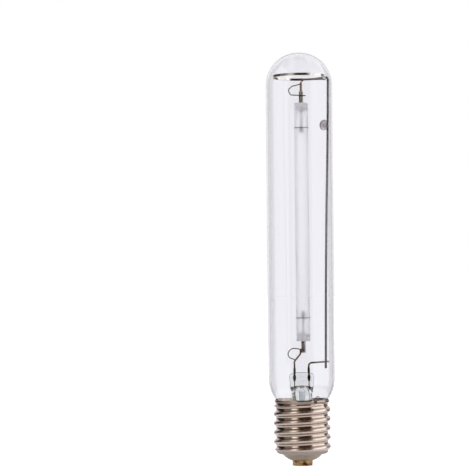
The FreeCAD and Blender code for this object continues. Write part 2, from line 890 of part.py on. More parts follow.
cap_shell = doc.addObject("PartDesign::Body", "cap_shell")
helical(
    cap_shell,
    "PartDesign::AdditiveHelix",
    "thread_ridge",
    ridge_base + flank * S.ridge_sink,
    ridge_crest,
    root_radius - S.ridge_sink,
    crest_radius,
    S.thread_first_height,
    S.rim_height - S.thread_first_height + S.thread_pitch / 2,
)
add_turned(
    cap_shell,
    "PartDesign::Groove",
    "thread_trim",
    [
        [
            (trim_near, S.thread_first_height - clear),
            (trim_far, S.thread_first_height - clear),
            (trim_far, thread_start + S.run_out),
            (crest_radius, thread_start + S.run_out),
            (trim_near, thread_start - S.run_out * trim_share),
        ],
        [
            (trim_near, thread_end + S.run_out * trim_share),
            (crest_radius, thread_end - S.run_out),
            (trim_far, thread_end - S.run_out),
            (trim_far, S.rim_height + clear),
            (trim_near, S.rim_height + clear),
        ],
    ],
)
add_turned(
    cap_shell,
    "PartDesign::Revolution",
    "sheet_barrel",
    [
        [
            (turn_in_mouth, mouth_z),
            (outer_bend_x, outer_bend_z),
            (root_radius, S.turn_in_start, S.turn_in_radius, "left"),
            (root_radius, barrel_top),
            (rim_radius, flare_top),
            (rim_radius, S.rim_height),
            (lip_bore, S.rim_height),
            (lip_bore, flare_top + S.shell_wall / 2),
            (shell_bore, barrel_top + S.shell_wall / 2),
            (shell_bore, S.turn_in_start),
            (inner_bend_x, inner_bend_z, turn_in_bore, "right"),
            (inner_mouth_x, inner_mouth_z),
        ]
    ],
)
helical(
    cap_shell,
    "PartDesign::SubtractiveHelix",
    "thread_hollow",
    ridge_base - sheet_shift + flank * S.ridge_sink,
    ridge_crest - sheet_shift,
    shell_bore - S.ridge_sink,
    crest_radius - S.shell_wall,
    hollow_start,
    hollow_rise,
)
node(cap_shell, "cap_shell")

# Insulator moulded into the shell's foot, and the contact with its spigot in it

cap_insulator = turned(
    "cap_insulator",
    [
        (S.wire_hole, S.vitrite_top),
        (S.wire_hole, S.spigot_top),
        (S.spigot_radius, S.spigot_top),
        (S.spigot_radius, S.contact_height),
        (S.contact_radius + S.collar_gap, S.contact_height),
        (turn_in_mouth - S.vitrite_ledge, mouth_z, S.vitrite_bowl_radius, "left"),
        (turn_in_mouth, mouth_z),
        (inner_mouth_x, inner_mouth_z),
        (inner_bend_x, inner_bend_z),
        (shell_bore, S.turn_in_start, turn_in_bore, "left"),
        (shell_bore, S.vitrite_top),
    ],
)
node(cap_insulator, "cap_insulator")

contact_foot = S.contact_radius - S.contact_taper
centre_contact = turned(
    "centre_contact",
    [
        (S.wire_hole, S.spigot_top),
        (S.wire_hole, S.dimple_depth),
        (S.dimple_radius, 0),
        (contact_foot - S.contact_edge, 0),
        (contact_foot, S.contact_edge, S.contact_edge, "left"),
        (S.contact_radius, S.contact_height),
        (S.spigot_radius, S.contact_height),
        (S.spigot_radius, S.spigot_top),
    ],
)
node(centre_contact, "centre_contact")

dimple_run = S.dimple_radius - S.wire_hole
solder_edge = S.dimple_radius - dimple_run * S.solder_recess / S.dimple_depth
contact_solder = turned(
    "contact_solder",
    [
        (0, S.dimple_depth),
        (0, S.solder_crown),
        (solder_edge, S.solder_recess),
        (S.wire_hole, S.dimple_depth),
    ],
)
node(contact_solder, "contact_solder")

# Wires from the stem to the contact and to the shell's rim

wire_turn = flare_foot - S.wire_turn_drop
centre_lead_wire = bent_wire(
    "centre_lead_wire",
    [
        vec(-lead_x, 0, stem_seat),
        vec(-lead_x, 0, exhaust_foot + S.wire_turn_rise),
        vec(0, 0, wire_turn),
        vec(0, 0, S.dimple_depth),
    ],
    S.bend_radius.value,
    S.outer_lead_radius.value,
)
sleeve_top = stem_seat - S.sleeve_drop
sleeve_foot = sleeve_top - S.sleeve_length
lead_sleeve = turned(
    "lead_sleeve",
    [
        (S.sleeve_radius - S.sleeve_wall, sleeve_foot),
        (S.sleeve_radius, sleeve_foot),
        (S.sleeve_radius, sleeve_top),
        (S.sleeve_radius - S.sleeve_wall, sleeve_top),
    ],
)
bind(lead_sleeve, "Placement.Base.x", -lead_x)
node(lead_sleeve, "lead_sleeve")


def polar(radius, azimuth, up):
    """Point at a distance from the lamp's axis in a given direction."""
    return vec(radius * cosine(azimuth), radius * sine(azimuth), up)


def glass_radius(up):
    """Outer radius of the bulb at a height from the neck arc to the straight wall."""
    drop = shoulder_top.value - up
    if up > outer_meet[1].value:
        return shoulder_x.value + math.sqrt(S.shoulder_radius.value ** 2 - drop ** 2)
    rise = max(up - blend_z.value, 0.0)
    return blend_x.value - math.sqrt(S.neck_blend_radius.value ** 2 - rise ** 2)


gap_radius = (S.neck_radius + shell_bore) / 2
rim_gap = (glass_radius(S.rim_height.value) + lip_bore) / 2
loop_top = S.rim_height + S.side_loop_rise
side_wire_foot = S.rim_height - S.side_wire_drop
loop_radius = glass_radius(loop_top.value) + S.side_wire_radius + S.side_wire_clear
side_out = rim_radius + S.side_wire_radius + S.weld_gap
side_lead_wire = bent_wire(
    "side_lead_wire",
    [
        vec(lead_x, 0, stem_seat),
        vec(lead_x, 0, wire_turn),
        polar(gap_radius, S.side_azimuth, wire_turn),
        polar(gap_radius, S.side_azimuth, barrel_top),
        polar(rim_gap, S.side_azimuth, S.rim_height),
        polar(loop_radius, S.side_azimuth + S.side_loop_angle / 2, loop_top),
        polar(loop_radius, S.side_azimuth + S.side_loop_angle, loop_top - S.side_bend_radius),
        polar(side_out, S.side_azimuth + S.side_tail_angle, side_wire_foot),
    ],
    S.side_bend_radius.value,
    S.side_wire_radius.value,
)

cement_foot = S.neck_foot + S.cement_rise
cement_ring = turned(
    "cement_ring",
    [
        (S.neck_radius, cement_foot),
        (shell_bore, cement_foot),
        (shell_bore, blend_z - S.cement_drop),
        (S.neck_radius, blend_z - S.cement_drop),
    ],
)
basing_cement = doc.addObject("Part::Cut", "basing_cement")
basing_cement.Base = cement_ring
basing_cement.Tool = side_lead_wire
node(basing_cement, "basing_cement")

solder_ball = doc.addObject("Part::Sphere", "solder_ball")
solder_azimuth = S.side_azimuth + S.side_tail_angle
bind(solder_ball, "Radius", S.solder_drop)
bind(solder_ball, "Placement.Base.x", rim_radius * cosine(solder_azimuth))
bind(solder_ball, "Placement.Base.y", rim_radius * sine(solder_azimuth))
bind(solder_ball, "Placement.Base.z", side_wire_foot)
rim_core = doc.addObject("Part::Cylinder", "rim_core")
bind(rim_core, "Radius", rim_radius)
bind(rim_core, "Height", S.rim_height * 2)
solder_lens = doc.addObject("Part::Cut", "solder_lens")
solder_lens.Base = solder_ball
solder_lens.Tool = rim_core
side_solder = doc.addObject("Part::Cut", "side_solder")
side_solder.Base = solder_lens
side_solder.Tool = side_lead_wire
node(side_solder, "side_solder")

# Every feature has to have worked and every node has to be a sound solid before it is written

doc.recompute()
for thing in doc.Objects:
    if "Invalid" in thing.State or "Error" in thing.State:
        raise RuntimeError(thing.Name + " failed: " + str(thing.State))
for piece in nodes:
    if piece.Shape.isNull() or not piece.Shape.isValid():
        raise RuntimeError(piece.Label + " has no sound shape")
os.makedirs("parts", exist_ok=True)
for piece in nodes:
    piece.Shape.exportStep("parts/" + piece.Label + ".step")
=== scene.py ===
"""High pressure sodium lamp: a clear tubular bulb with its arc tube, on a large screw cap."""
import logging
import math
from dataclasses import dataclass, field
from enum import Enum
from typing import Sequence

import bpy
import numpy as np
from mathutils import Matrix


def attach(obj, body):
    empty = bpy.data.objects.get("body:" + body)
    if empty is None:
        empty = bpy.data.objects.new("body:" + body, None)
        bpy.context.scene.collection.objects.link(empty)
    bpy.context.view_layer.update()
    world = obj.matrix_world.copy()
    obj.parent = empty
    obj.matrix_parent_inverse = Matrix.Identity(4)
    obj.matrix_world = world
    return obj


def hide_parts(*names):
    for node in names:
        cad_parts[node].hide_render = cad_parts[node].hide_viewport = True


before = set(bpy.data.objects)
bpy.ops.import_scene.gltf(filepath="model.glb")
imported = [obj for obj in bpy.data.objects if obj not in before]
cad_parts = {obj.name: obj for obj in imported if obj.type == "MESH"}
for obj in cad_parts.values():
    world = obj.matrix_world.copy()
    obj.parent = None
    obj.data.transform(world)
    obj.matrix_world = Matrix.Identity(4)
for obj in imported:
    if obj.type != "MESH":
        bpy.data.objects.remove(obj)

Array = np.ndarray
Colour = tuple[float, float, float]
Point = tuple[float, float, float]
Corners = Sequence[Sequence[float]]
Socket = bpy.types.NodeSocket

LOG = logging.getLogger("lamp")
MM = 0.001
TURN = 2.0 * math.pi
CRISP = math.radians(40.0)  # edges bent by more than this stay sharp


class Grain(Enum):
    """How a pattern is stretched: the factor on its scale along x, y and z."""

    EVEN = (1.0, 1.0, 1.0)
    ROLLED = (0.12, 0.12, 4.0)
    DRAWN = (3.0, 3.0, 0.1)


class End(Enum):
    """An end of the arc tube. Its value is the way from there into the tube, up or down."""

    UPPER = -1
    LOWER = 1


class Side(Enum):
    """A side of the pinch. Its value is the sign of x."""

    LEFT = -1
    RIGHT = 1


# Shapes: every surface is a grid of points worked out as whole arrays.


@dataclass
class Skin:
    """Points in millimetres with four-sided and three-sided faces between them."""

    points: Array
    quads: Array
    fans: Array

    def moved(self, across: float = 0.0, depth: float = 0.0, up: float = 0.0) -> "Skin":
        """The same surface somewhere else."""
        return Skin(self.points + np.array([across, depth, up]), self.quads, self.fans)

    def facing_out(self) -> "Skin":
        """The same surface with its faces outwards.

        The volume is a sixth of the sum of a . (b x c) over all triangles. Where it comes out
        negative, every face is turned round.

        Returns:
            The skin, turned or as it was.
        """
        halves = np.concatenate([self.quads[:, :3], self.quads[:, [0, 2, 3]], self.fans])
        a, b, c = (self.points[halves[:, k]] for k in range(3))
        if np.einsum("ij,ij->i", a, np.cross(b, c)).sum() < 0:
            return Skin(self.points, self.quads[:, ::-1], self.fans[:, ::-1])
        return self


def grid_skin(
    rows: Array, first: Array | None = None, last: Array | None = None, looped: bool = False
) -> Skin:
    """Skin of rows of points, each row a closed ring.

    Quad (i, j) joins points j and j + 1 of ring i to the same points of ring i + 1, with j + 1
    taken round the ring. A pole point closes an end with a fan of triangles.

    Args:
        rows: points, shape (rings, points in a ring, 3).
        first: pole that closes the first ring, or None.
        last: pole that closes the last ring, or None.
        looped: True joins the last ring to the first one.

    Returns:
        The skin, faces outwards.
    """
    rings, count = rows.shape[:2]
    index = np.arange(rings * count).reshape(rings, count)
    below = index if looped else index[:-1]
    above = np.roll(index, -1, axis=0) if looped else index[1:]
    quads = np.stack([below, np.roll(below, -1, 1), np.roll(above, -1, 1), above], axis=-1)
    points = [rows.reshape(-1, 3)]
    fans = [np.zeros((0, 3), int)]
    here = rings * count
    for pole, ring, flip in ((first, index[0], True), (last, index[-1], False)):
        if pole is None:
            continue
        points.append(np.asarray(pole, float).reshape(1, 3))
        pair = (np.roll(ring, -1), ring) if flip else (ring, np.roll(ring, -1))
        fans.append(np.stack([*pair, np.full(count, here)], axis=-1))
        here += 1
    return Skin(np.concatenate(points), quads.reshape(-1, 4), np.concatenate(fans)).facing_out()


def around(count: int) -> Array:
    """Evenly spaced angles of one turn, in radians."""
    return np.arange(count) / count * TURN


def polar(radius: float | Array, angle: float | Array, up: float | Array) -> Array:
    """Points (radius cos angle, radius sin angle, up), broadcast together."""
    parts = np.broadcast_arrays(radius * np.cos(angle), radius * np.sin(angle), up)
    return np.stack(parts, axis=-1)


def arc(
    across: float, up: float, radius: float, start: float, end: float, count: int = 10
) -> Array:
    """Points centre + radius * (cosine, sine) at evenly spaced angles in degrees."""
    angle = np.radians(np.linspace(start, end, count))
    return np.stack([across + radius * np.cos(angle), up + radius * np.sin(angle)], axis=-1)


def rounded(points: Corners, bend: float | Sequence[float], steps: int = 7) -> Array:
    """Path through points with each inner corner rounded to an arc.

    The arc touches both runs at bend / tan(half) from the corner, where half is half of the
    corner's inside angle. Between its two spokes u and w, which are phi apart, its points are
    centre + (sin((1 - t) phi) u + sin(t phi) w) / sin(phi).

    Args:
        points: corners in two or three dimensions.
        bend: radius of the arcs, one for all or one for each inner corner.
        steps: points on each arc.

    Returns:
        The points of the path.
    """
    line = np.asarray(points, float)
    bends = np.broadcast_to(np.asarray(bend, float), (len(line) - 2,))[:, None]
    before, corner, after = line[:-2], line[1:-1], line[2:]
    back = (before - corner) / np.linalg.norm(before - corner, axis=1, keepdims=True)
    ahead = (after - corner) / np.linalg.norm(after - corner, axis=1, keepdims=True)
    cosine = np.clip((back * ahead).sum(1, keepdims=True), -1.0, 1.0 - 1e-9)
    half = np.arccos(cosine) / 2
    middle = back + ahead
    middle = middle / np.maximum(np.linalg.norm(middle, axis=1, keepdims=True), 1e-9)
    centre = corner + middle * bends / np.sin(half)
    spoke_in = (corner + back * bends / np.tan(half) - centre)[:, None]
    spoke_out = (corner + ahead * bends / np.tan(half) - centre)[:, None]
    phi = np.maximum(math.pi - 2 * half, 1e-4)[:, None]
    share = np.linspace(0.0, 1.0, steps)[None, :, None]
    blend = np.sin((1 - share) * phi) * spoke_in + np.sin(share * phi) * spoke_out
    bow = centre[:, None] + blend / np.sin(phi)
    return np.concatenate([line[:1], bow.reshape(-1, line.shape[1]), line[-1:]])


def lathe(section: Array, columns: int = 64) -> Skin:
    """Surface of revolution: (r cos a, r sin a, z) for each point (r, z) of the section.

    Args:
        section: points (r, z). If both ends lie on the axis they become poles, otherwise the
            section is taken as a closed loop.
        columns: points in each ring.

    Returns:
        The skin in millimetres.
    """
    poles = section[0, 0] < 1e-6 and section[-1, 0] < 1e-6
    body = section[1:-1] if poles else section
    rows = polar(body[:, :1], around(columns), body[:, 1:])
    if not poles:
        return grid_skin(rows, looped=True)
    return grid_skin(rows, (0, 0, section[0, 1]), (0, 0, section[-1, 1]))


def steady_side(way: Array) -> Array:
    """One direction that stays well off a path's own direction, chosen among seven.

    Args:
        way: unit directions along the path, shape (n, 3).

    Returns:
        The direction whose smallest cross product with them is the largest.
    """
    choices = np.array(
        [[0, 1, 0], [1, 0, 0], [0, 0, 1], [1, 1, 1], [1, -1, 1], [-1, 1, 1], [1, 1, -1]], float
    )
    choices /= np.linalg.norm(choices, axis=1, keepdims=True)
    clear = np.linalg.norm(np.cross(choices[:, None], way[None]), axis=2).min(axis=1)
    return choices[clear.argmax()]


def sweep(path: Array, radius: float | Array, sides: int = 16, tip: float = 0.3) -> Skin:
    """Round wire along a path.

    Each ring is p + r (cos a n + sin a b), where n and b stand square to the path: n is the cross
    product of a steady direction with the path's direction, and b is the cross product of the
    path's direction with n. The ends are quarter ellipses of depth tip.

    Args:
        path: points in millimetres, shape (n, 3).
        radius: one radius, or one for each point.
        sides: points in each ring.
        tip: depth of the rounded ends.

    Returns:
        The skin, closed at both ends.
    """
    radii = np.broadcast_to(np.asarray(radius, float), (len(path),))
    runs = np.diff(path, axis=0)
    runs /= np.linalg.norm(runs, axis=1, keepdims=True)
    way = np.concatenate([runs[:1], runs[:-1] + runs[1:], runs[-1:]])
    way /= np.linalg.norm(way, axis=1, keepdims=True)
    lean = np.radians([25.0, 50.0, 72.0])
    inset = (tip * (1 - np.cos(lean)))[:, None]
    start = [path[0] + way[0] * inset, path[:1] + way[:1] * tip]
    end = [path[-1:] - way[-1:] * tip, (path[-1] - way[-1] * inset)[::-1]]
    spine = np.concatenate([*start, path[1:-1], *end])
    sizes = np.concatenate([radii[0] * np.sin(lean), radii, (radii[-1] * np.sin(lean))[::-1]])
    ways = np.concatenate([np.repeat(way[:1], 3, 0), way, np.repeat(way[-1:], 3, 0)])
    normal = np.cross(steady_side(way)[None], ways)
    normal /= np.linalg.norm(normal, axis=1, keepdims=True)
    binormal = np.cross(ways, normal)
    angle = around(sides)[None, :, None]
    spokes = np.cos(angle) * normal[:, None] + np.sin(angle) * binormal[:, None]
    return grid_skin(spine[:, None] + sizes[:, None, None] * spokes, path[0], path[-1])


def ease(place: Array, knots: Sequence[float], values: Sequence[float]) -> Array:
    """Value at each place, running from knot to knot as 3 t squared - 2 t cubed.

    Args:
        place: where the values are wanted.
        knots: rising places of the given values.
        values: one value for each knot.

    Returns:
        The values, in the shape of place.
    """
    knot = np.asarray(knots, float)
    value = np.asarray(values, float)
    step = np.clip(np.searchsorted(knot, place, side="right") - 1, 0, len(knot) - 2)
    share = np.clip((place - knot[step]) / (knot[step + 1] - knot[step]), 0.0, 1.0)
    return value[step] + (value[step + 1] - value[step]) * share * share * (3 - 2 * share)


def fades(place: Array, low: float, high: float) -> Array:
    """0 below low, 1 above high, and a smooth rise between them."""
    share = np.clip((place - low) / (high - low), 0.0, 1.0)
    return share * share * (3 - 2 * share)


# Shader maths: expressions on sockets.


@dataclass(frozen=True)
class Value:
    """A socket that carries one number, and the tree it is in. Operators add Math nodes."""

    tree: "Tree"
    socket: Socket

    def _with(self, operation: str, *others: "Value | float") -> "Value":
        """One Math node on this value and others."""
        sockets = dict(enumerate((self, *others)))
        return self.tree.add("ShaderNodeMath", {"operation": operation}, sockets).value(0)

    def __add__(self, other: "Value | float") -> "Value":
        """Sum."""
        return self._with("ADD", other)

    def __radd__(self, other: float) -> "Value":
        """Sum with a number in front."""
        return self._with("ADD", other)

    def __sub__(self, other: "Value | float") -> "Value":
        """Difference."""
        return self._with("SUBTRACT", other)

    def __rsub__(self, other: float) -> "Value":
        """Number minus this value."""
        return self * -1.0 + other

    def __mul__(self, other: "Value | float") -> "Value":
        """Product."""
        return self._with("MULTIPLY", other)

    def __truediv__(self, other: "Value | float") -> "Value":
        """Quotient."""
        return self._with("DIVIDE", other)

    def __abs__(self) -> "Value":
        """Size without its sign."""
        return self._with("ABSOLUTE")

    def power(self, exponent: float) -> "Value":
        """This value raised to an exponent."""
        return self._with("POWER", exponent)

    def smaller(self, other: "Value | float") -> "Value":
        """The smaller of two."""
        return self._with("MINIMUM", other)

    def larger(self, other: "Value | float") -> "Value":
        """The larger of two."""
        return self._with("MAXIMUM", other)

    def turned_from(self, other: "Value") -> "Value":
        """Angle whose tangent is this value over the other, in radians."""
        return self._with("ARCTAN2", other)

    def between(self, low: float, high: float) -> "Value":
        """0 at low and 1 at high, smooth between them. Low may be the larger."""
        sockets = {"Value": self, "From Min": low, "From Max": high, "To Min": 0.0, "To Max": 1.0}
        return self.tree.add("ShaderNodeMapRange", {"interpolation_type": "SMOOTHSTEP"}, sockets).value(0)

    def band(self, centre: float, half: float, soft: float) -> "Value":
        """1 within half of the centre, fading out over soft on each side."""
        return abs(self - centre).between(half + soft, half)


@dataclass(frozen=True)
class Node:
    """A placed node, from which sockets are taken."""

    tree: "Tree"
    node: bpy.types.Node

    def value(self, output: int | str) -> Value:
        """Number output."""
        return Value(self.tree, self.node.outputs[output])

    def out(self, output: int | str = 0) -> Socket:
        """Any output."""
        return self.node.outputs[output]


class Tree:
    """Builds nodes in one material or world."""

    def __init__(self, tree: bpy.types.NodeTree) -> None:
        """Start from an empty tree."""
        self.tree = tree
        tree.nodes.clear()

    def add(self, kind: str, settings: dict | None = None, sockets: dict | None = None) -> Node:
        """Place one node.

        Args:
            kind: the node's type.
            settings: its properties, set first.
            sockets: values, colours or links by input name or number.

        Returns:
            The placed node.
        """
        node = self.tree.nodes.new(kind)
        for name, setting in (settings or {}).items():
            setattr(node, name, setting)
        for name, thing in (sockets or {}).items():
            target = node.inputs[name]
            source = thing.socket if isinstance(thing, Value) else thing
            if isinstance(source, Socket):
                self.tree.links.new(source, target)
            else:
                target.default_value = (*source, 1.0) if target.type == "RGBA" else source
        return Node(self, node)

    def place(self) -> Socket:
        """Object coordinates, in metres."""
        return self.add("ShaderNodeTexCoord").out("Object")

    def parts(self, vector: Socket) -> tuple[Value, Value, Value]:
        """The three numbers of a vector."""
        split = self.add("ShaderNodeSeparateXYZ", None, {0: vector})
        return split.value(0), split.value(1), split.value(2)

    def ray(self, kind: str) -> Value:
        """What the light path says of the ray, by the output's name."""
        return self.add("ShaderNodeLightPath").value(kind)

    def mirrored(self) -> Value:
        """1 for rays that a surface has mirrored, 0 for straight ones or ones through glass."""
        return self.ray("Glossy Depth").smaller(1.0)

    def noise(
        self, scale: float, detail: float = 3.0, grain: Grain = Grain.EVEN, rough: float = 0.55
    ) -> Value:
        """Noise between 0 and 1 on object coordinates.

        Args:
            scale: patches to a metre.
            detail: finer layers.
            grain: how the pattern is stretched.
            rough: strength of the finer layers.

        Returns:
            The noise.
        """
        spread = {"Vector": self.place(), "Scale": grain.value}
        vector = self.add("ShaderNodeMapping", None, spread).out()
        sockets = {"Vector": vector, "Scale": scale, "Detail": detail, "Roughness": rough}
        return self.add("ShaderNodeTexNoise", None, sockets).value(0)

    def mix(self, share: Value, one: Socket | Colour, two: Socket | Colour) -> Socket:
        """Colour that goes from one to two as the share goes from 0 to 1."""
        sockets = {"Factor": share, 6: one, 7: two}
        return self.add("ShaderNodeMix", {"data_type": "RGBA"}, sockets).out(2)

    def bump(self, height: Value, depth: float) -> Socket:
        """Normal from a height, depth in metres at a height of 1."""
        return self.add("ShaderNodeBump", None, {"Height": height, "Distance": depth}).out()

    def surface(self, sockets: dict) -> Socket:
        """Principled shader with these inputs."""
        return self.add("ShaderNodeBsdfPrincipled", None, sockets).out()

    def blend(self, share: Value, one: Socket, two: Socket) -> Socket:
        """Shader that goes from one to two as the share goes from 0 to 1."""
        return self.add("ShaderNodeMixShader", None, {0: share, 1: one, 2: two}).out()

    def open_to_shadows(self, body: Socket, colour: Colour) -> Socket:
        """The shader of a body that shadow rays pass, tinted with its colour."""
        clear = self.add("ShaderNodeBsdfTransparent", None, {"Color": colour}).out()
        return self.blend(self.ray("Is Shadow Ray"), body, clear)


def tint(code: str) -> Colour:
    """Linear colour of a six-figure screen colour, by the standard screen curve.

    Args:
        code: red, green and blue, two hexadecimal figures each.

    Returns:
        The colour, each part from 0 to 1.
    """
    parts = [int(code[index:index + 2], 16) / 255 for index in (0, 2, 4)]
    red, green, blue = (p / 12.92 if p <= 0.04045 else ((p + 0.055) / 1.055) ** 2.4 for p in parts)
    return red, green, blue


# Finishes.


@dataclass(frozen=True)
class Finish:
    """A surface finish. Each kind fills in its shader once, and pieces share the material."""

    label: str
    variant: str = field(default="finish", kw_only=True)

    def shade(self, tree: Tree) -> Socket:
        """Build the shader and return its output."""
        raise NotImplementedError

    def material(self) -> bpy.types.Material:
        """The material, made the first time it is asked for.

        Returns:
            The material, named after the label and the variant.
        """
        name = f"{self.label}_{self.variant}"
        made = bpy.data.materials.get(name)
        if made is None:
            made = bpy.data.materials.new(name)
            made.use_nodes = True
            tree = Tree(made.node_tree)
            tree.add("ShaderNodeOutputMaterial", None, {"Surface": self.shade(tree)})
        return made


@dataclass(frozen=True)
class Glass(Finish):
    """Clear glass that lets light through to what it holds."""

    colour: Colour = (0.99, 0.99, 0.995)
    bend: float = 1.48
    waviness: float = 0.000004
    wave_scale: float = 60.0
    grain: Grain = Grain.DRAWN
    haze: float = 0.003

    def shade(self, tree: Tree) -> Socket:
        """Refracting glass, faint haze in patches and the slight waves of drawn glass.

        Args:
            tree: where the nodes go.

        Returns:
            The shader.
        """
        smears = tree.noise(55.0, 4.0).between(0.5, 0.75)
        waves = tree.noise(self.wave_scale, 2.0, self.grain)
        body = {
            "Base Color": self.colour,
            "Roughness": smears * self.haze,
            "IOR": self.bend,
            "Transmission Weight": 1.0,
            "Normal": tree.bump(waves, self.waviness),
        }
        return tree.open_to_shadows(tree.surface(body), self.colour)


@dataclass(frozen=True)
class Metal(Finish):
    """Bare metal with darker and lighter patches and fine marks along its grain."""

    clean: Colour
    stained: Colour
    smooth: float
    dull: float
    patch_scale: float
    stain_from: float = 0.4
    stain_to: float = 0.7
    grain: Grain = Grain.EVEN
    grain_scale: float = 1500.0
    mark_depth: float = 0.00002
    mark_gloss: float = 0.12

    def patches(self, tree: Tree, stain: Value) -> Socket:
        """Colour that goes from clean to stained."""
        return tree.mix(stain, self.clean, self.stained)

    def shade(self, tree: Tree) -> Socket:
        """Stains in the colour and the gloss, and fine marks in the gloss and the bump.

        Args:
            tree: where the nodes go.

        Returns:
            The shader.
        """
        stain = tree.noise(self.patch_scale, 4.0).between(self.stain_from, self.stain_to)
        marks = tree.noise(self.grain_scale, 3.0, self.grain)
        crest_share = self.smooth + stain * (self.dull - self.smooth)
        body = {
            "Base Color": self.patches(tree, stain),
            "Metallic": 1.0,
            "Roughness": crest_share + (marks - 0.5) * self.mark_gloss,
            "Normal": tree.bump(marks, self.mark_depth),
        }
        return tree.surface(body)


@dataclass(frozen=True)
class DarkFootMetal(Metal):
    """Metal that turns to a darker colour towards its foot, by height."""

    mark_gloss: float = 0.0
    foot: Colour = (0.08, 0.05, 0.05)
    low: float = 0.07
    high: float = 0.25

    def patches(self, tree: Tree, stain: Value) -> Socket:
        """The metal's patches, with the foot's colour mixed in by height."""
        # darker towards the foot: the foot colour mixes in below the given heights
        toward_foot = tree.parts(tree.place())[2].between(self.high, self.low)
        return tree.mix(toward_foot, super().patches(tree, stain), self.foot)


@dataclass(frozen=True)
class Plated(Finish):
    """Nickel plate on the screw shell: lighter crests, valleys darkened by painted shade and random
    grime.
    """

    crest: Colour = (0.7, 0.6, 0.53)
    # valley colour: darker and browner, painted shade of the thread's recesses
    valley: Colour = (0.5, 0.38, 0.3)
    # colour of the painted dark reflection line along each thread flank
    flank_reflection: Colour = (0.12, 0.07, 0.045)
    foot: Colour = (0.36, 0.3, 0.255)
    crest_radius: float = 0.0197
    valley_radius: float = 0.0179
    foot_top: float = 0.0105
    foot_edge: float = 0.0008
    flank_half: float = 0.00008
    flank_soft: float = 0.0003

    def shade(self, tree: Tree) -> Socket:
        """Rougher crests, valleys darkened by painted shade and random grime, a painted dark
        reflection line along each flank, rolled streaks and a few fine pits.

        Args:
            tree: where the nodes go.

        Returns:
            The shader.
        """
        x, y, z = tree.parts(tree.place())
        radius = (x * x + y * y).power(0.5)
        crest_share = radius.between(self.valley_radius, self.crest_radius)
        cloud = tree.noise(160.0, 4.0)
        streaks = tree.noise(700.0, 3.0, Grain.ROLLED)
        pits = tree.noise(2600.0, 2.0).between(0.68, 0.76)
        # painted shade: the valleys move toward the valley colour, mixed with random grime from the cloud
        # noise
        grime_and_valley_shade = ((1.0 - crest_share) * 0.55 + cloud.between(0.45, 0.75) * 0.45) * 0.7
        foot = z.between(self.foot_top + self.foot_edge, self.foot_top - self.foot_edge)
        halfway = (self.crest_radius + self.valley_radius) / 2
        # painted reflection: a thin dark line along the middle of each thread flank
        reflected_line = radius.band(halfway, self.flank_half, self.flank_soft) * 0.55
        plate = tree.mix(reflected_line, tree.mix(grime_and_valley_shade, self.crest, self.valley), self.flank_reflection)
        rough = 0.1 + crest_share.power(3.0) * 0.12 + cloud * 0.05 + streaks * 0.05 + pits * 0.2
        body = {
            "Base Color": tree.mix(foot, plate, self.foot),
            "Metallic": 1.0 - foot * 0.9,
            "Roughness": rough + foot * 0.3,
            "Normal": tree.bump(streaks * 0.2 + pits * -1.0 + cloud * 0.8, 0.000015),
        }
        return tree.surface(body)


@dataclass(frozen=True)
class Ceramic(Finish):
    """Sintered alumina that glows through: fine grain, faint bands from firing."""

    colour: Colour = (0.928, 0.93, 0.93)
    shadow: Colour = (0.896, 0.897, 0.9)
    through: float = 0.93
    gloss: float = 0.48
    bend: float = 1.4

    def shade(self, tree: Tree) -> Socket:
        """Cloudy colour, crystal sparkle in the gloss, and light let through.

        Args:
            tree: where the nodes go.

        Returns:
            The shader.
        """
        cloud = tree.noise(120.0, 4.0).between(0.35, 0.7)
        crystals = tree.noise(5200.0, 2.0)
        rings = tree.noise(420.0, 2.0, Grain.ROLLED)
        body = {
            "Base Color": tree.mix(cloud * 0.6 + rings * 0.3, self.colour, self.shadow),
            "Roughness": self.gloss + crystals * 0.15,
            "IOR": self.bend,
            "Transmission Weight": self.through,
            "Normal": tree.bump(crystals + rings * 0.5, 0.00002),
        }
        return tree.open_to_shadows(tree.surface(body), self.colour)


@dataclass(frozen=True)
class Mineral(Finish):
    """Solid matt or glossy mineral: moulded glass, cement, frit, woven fibre."""

    colour: Colour
    mottle: Colour
    gloss: float
    coat: float
    scale: float
    grain: Grain = Grain.EVEN
    depth: float = 0.00008

    def shade(self, tree: Tree) -> Socket:
        """Mottled colour, small specks, uneven gloss and a moulded skin.

        Args:
            tree: where the nodes go.

        Returns:
            The shader.
        """
        cloud = tree.noise(self.scale, 5.0, self.grain, 0.6)
        specks = tree.noise(self.scale * 9.0, 2.0).between(0.6, 0.72)
        mottled = cloud.between(0.3, 0.7) * 0.8 + specks * 0.3
        body = {
            "Base Color": tree.mix(mottled, self.colour, self.mottle),
            "Roughness": self.gloss + cloud * 0.15,
            "Coat Weight": self.coat,
            "Coat Roughness": 0.12,
            "Normal": tree.bump(cloud + specks * -0.3, self.depth),
        }
        return tree.surface(body)


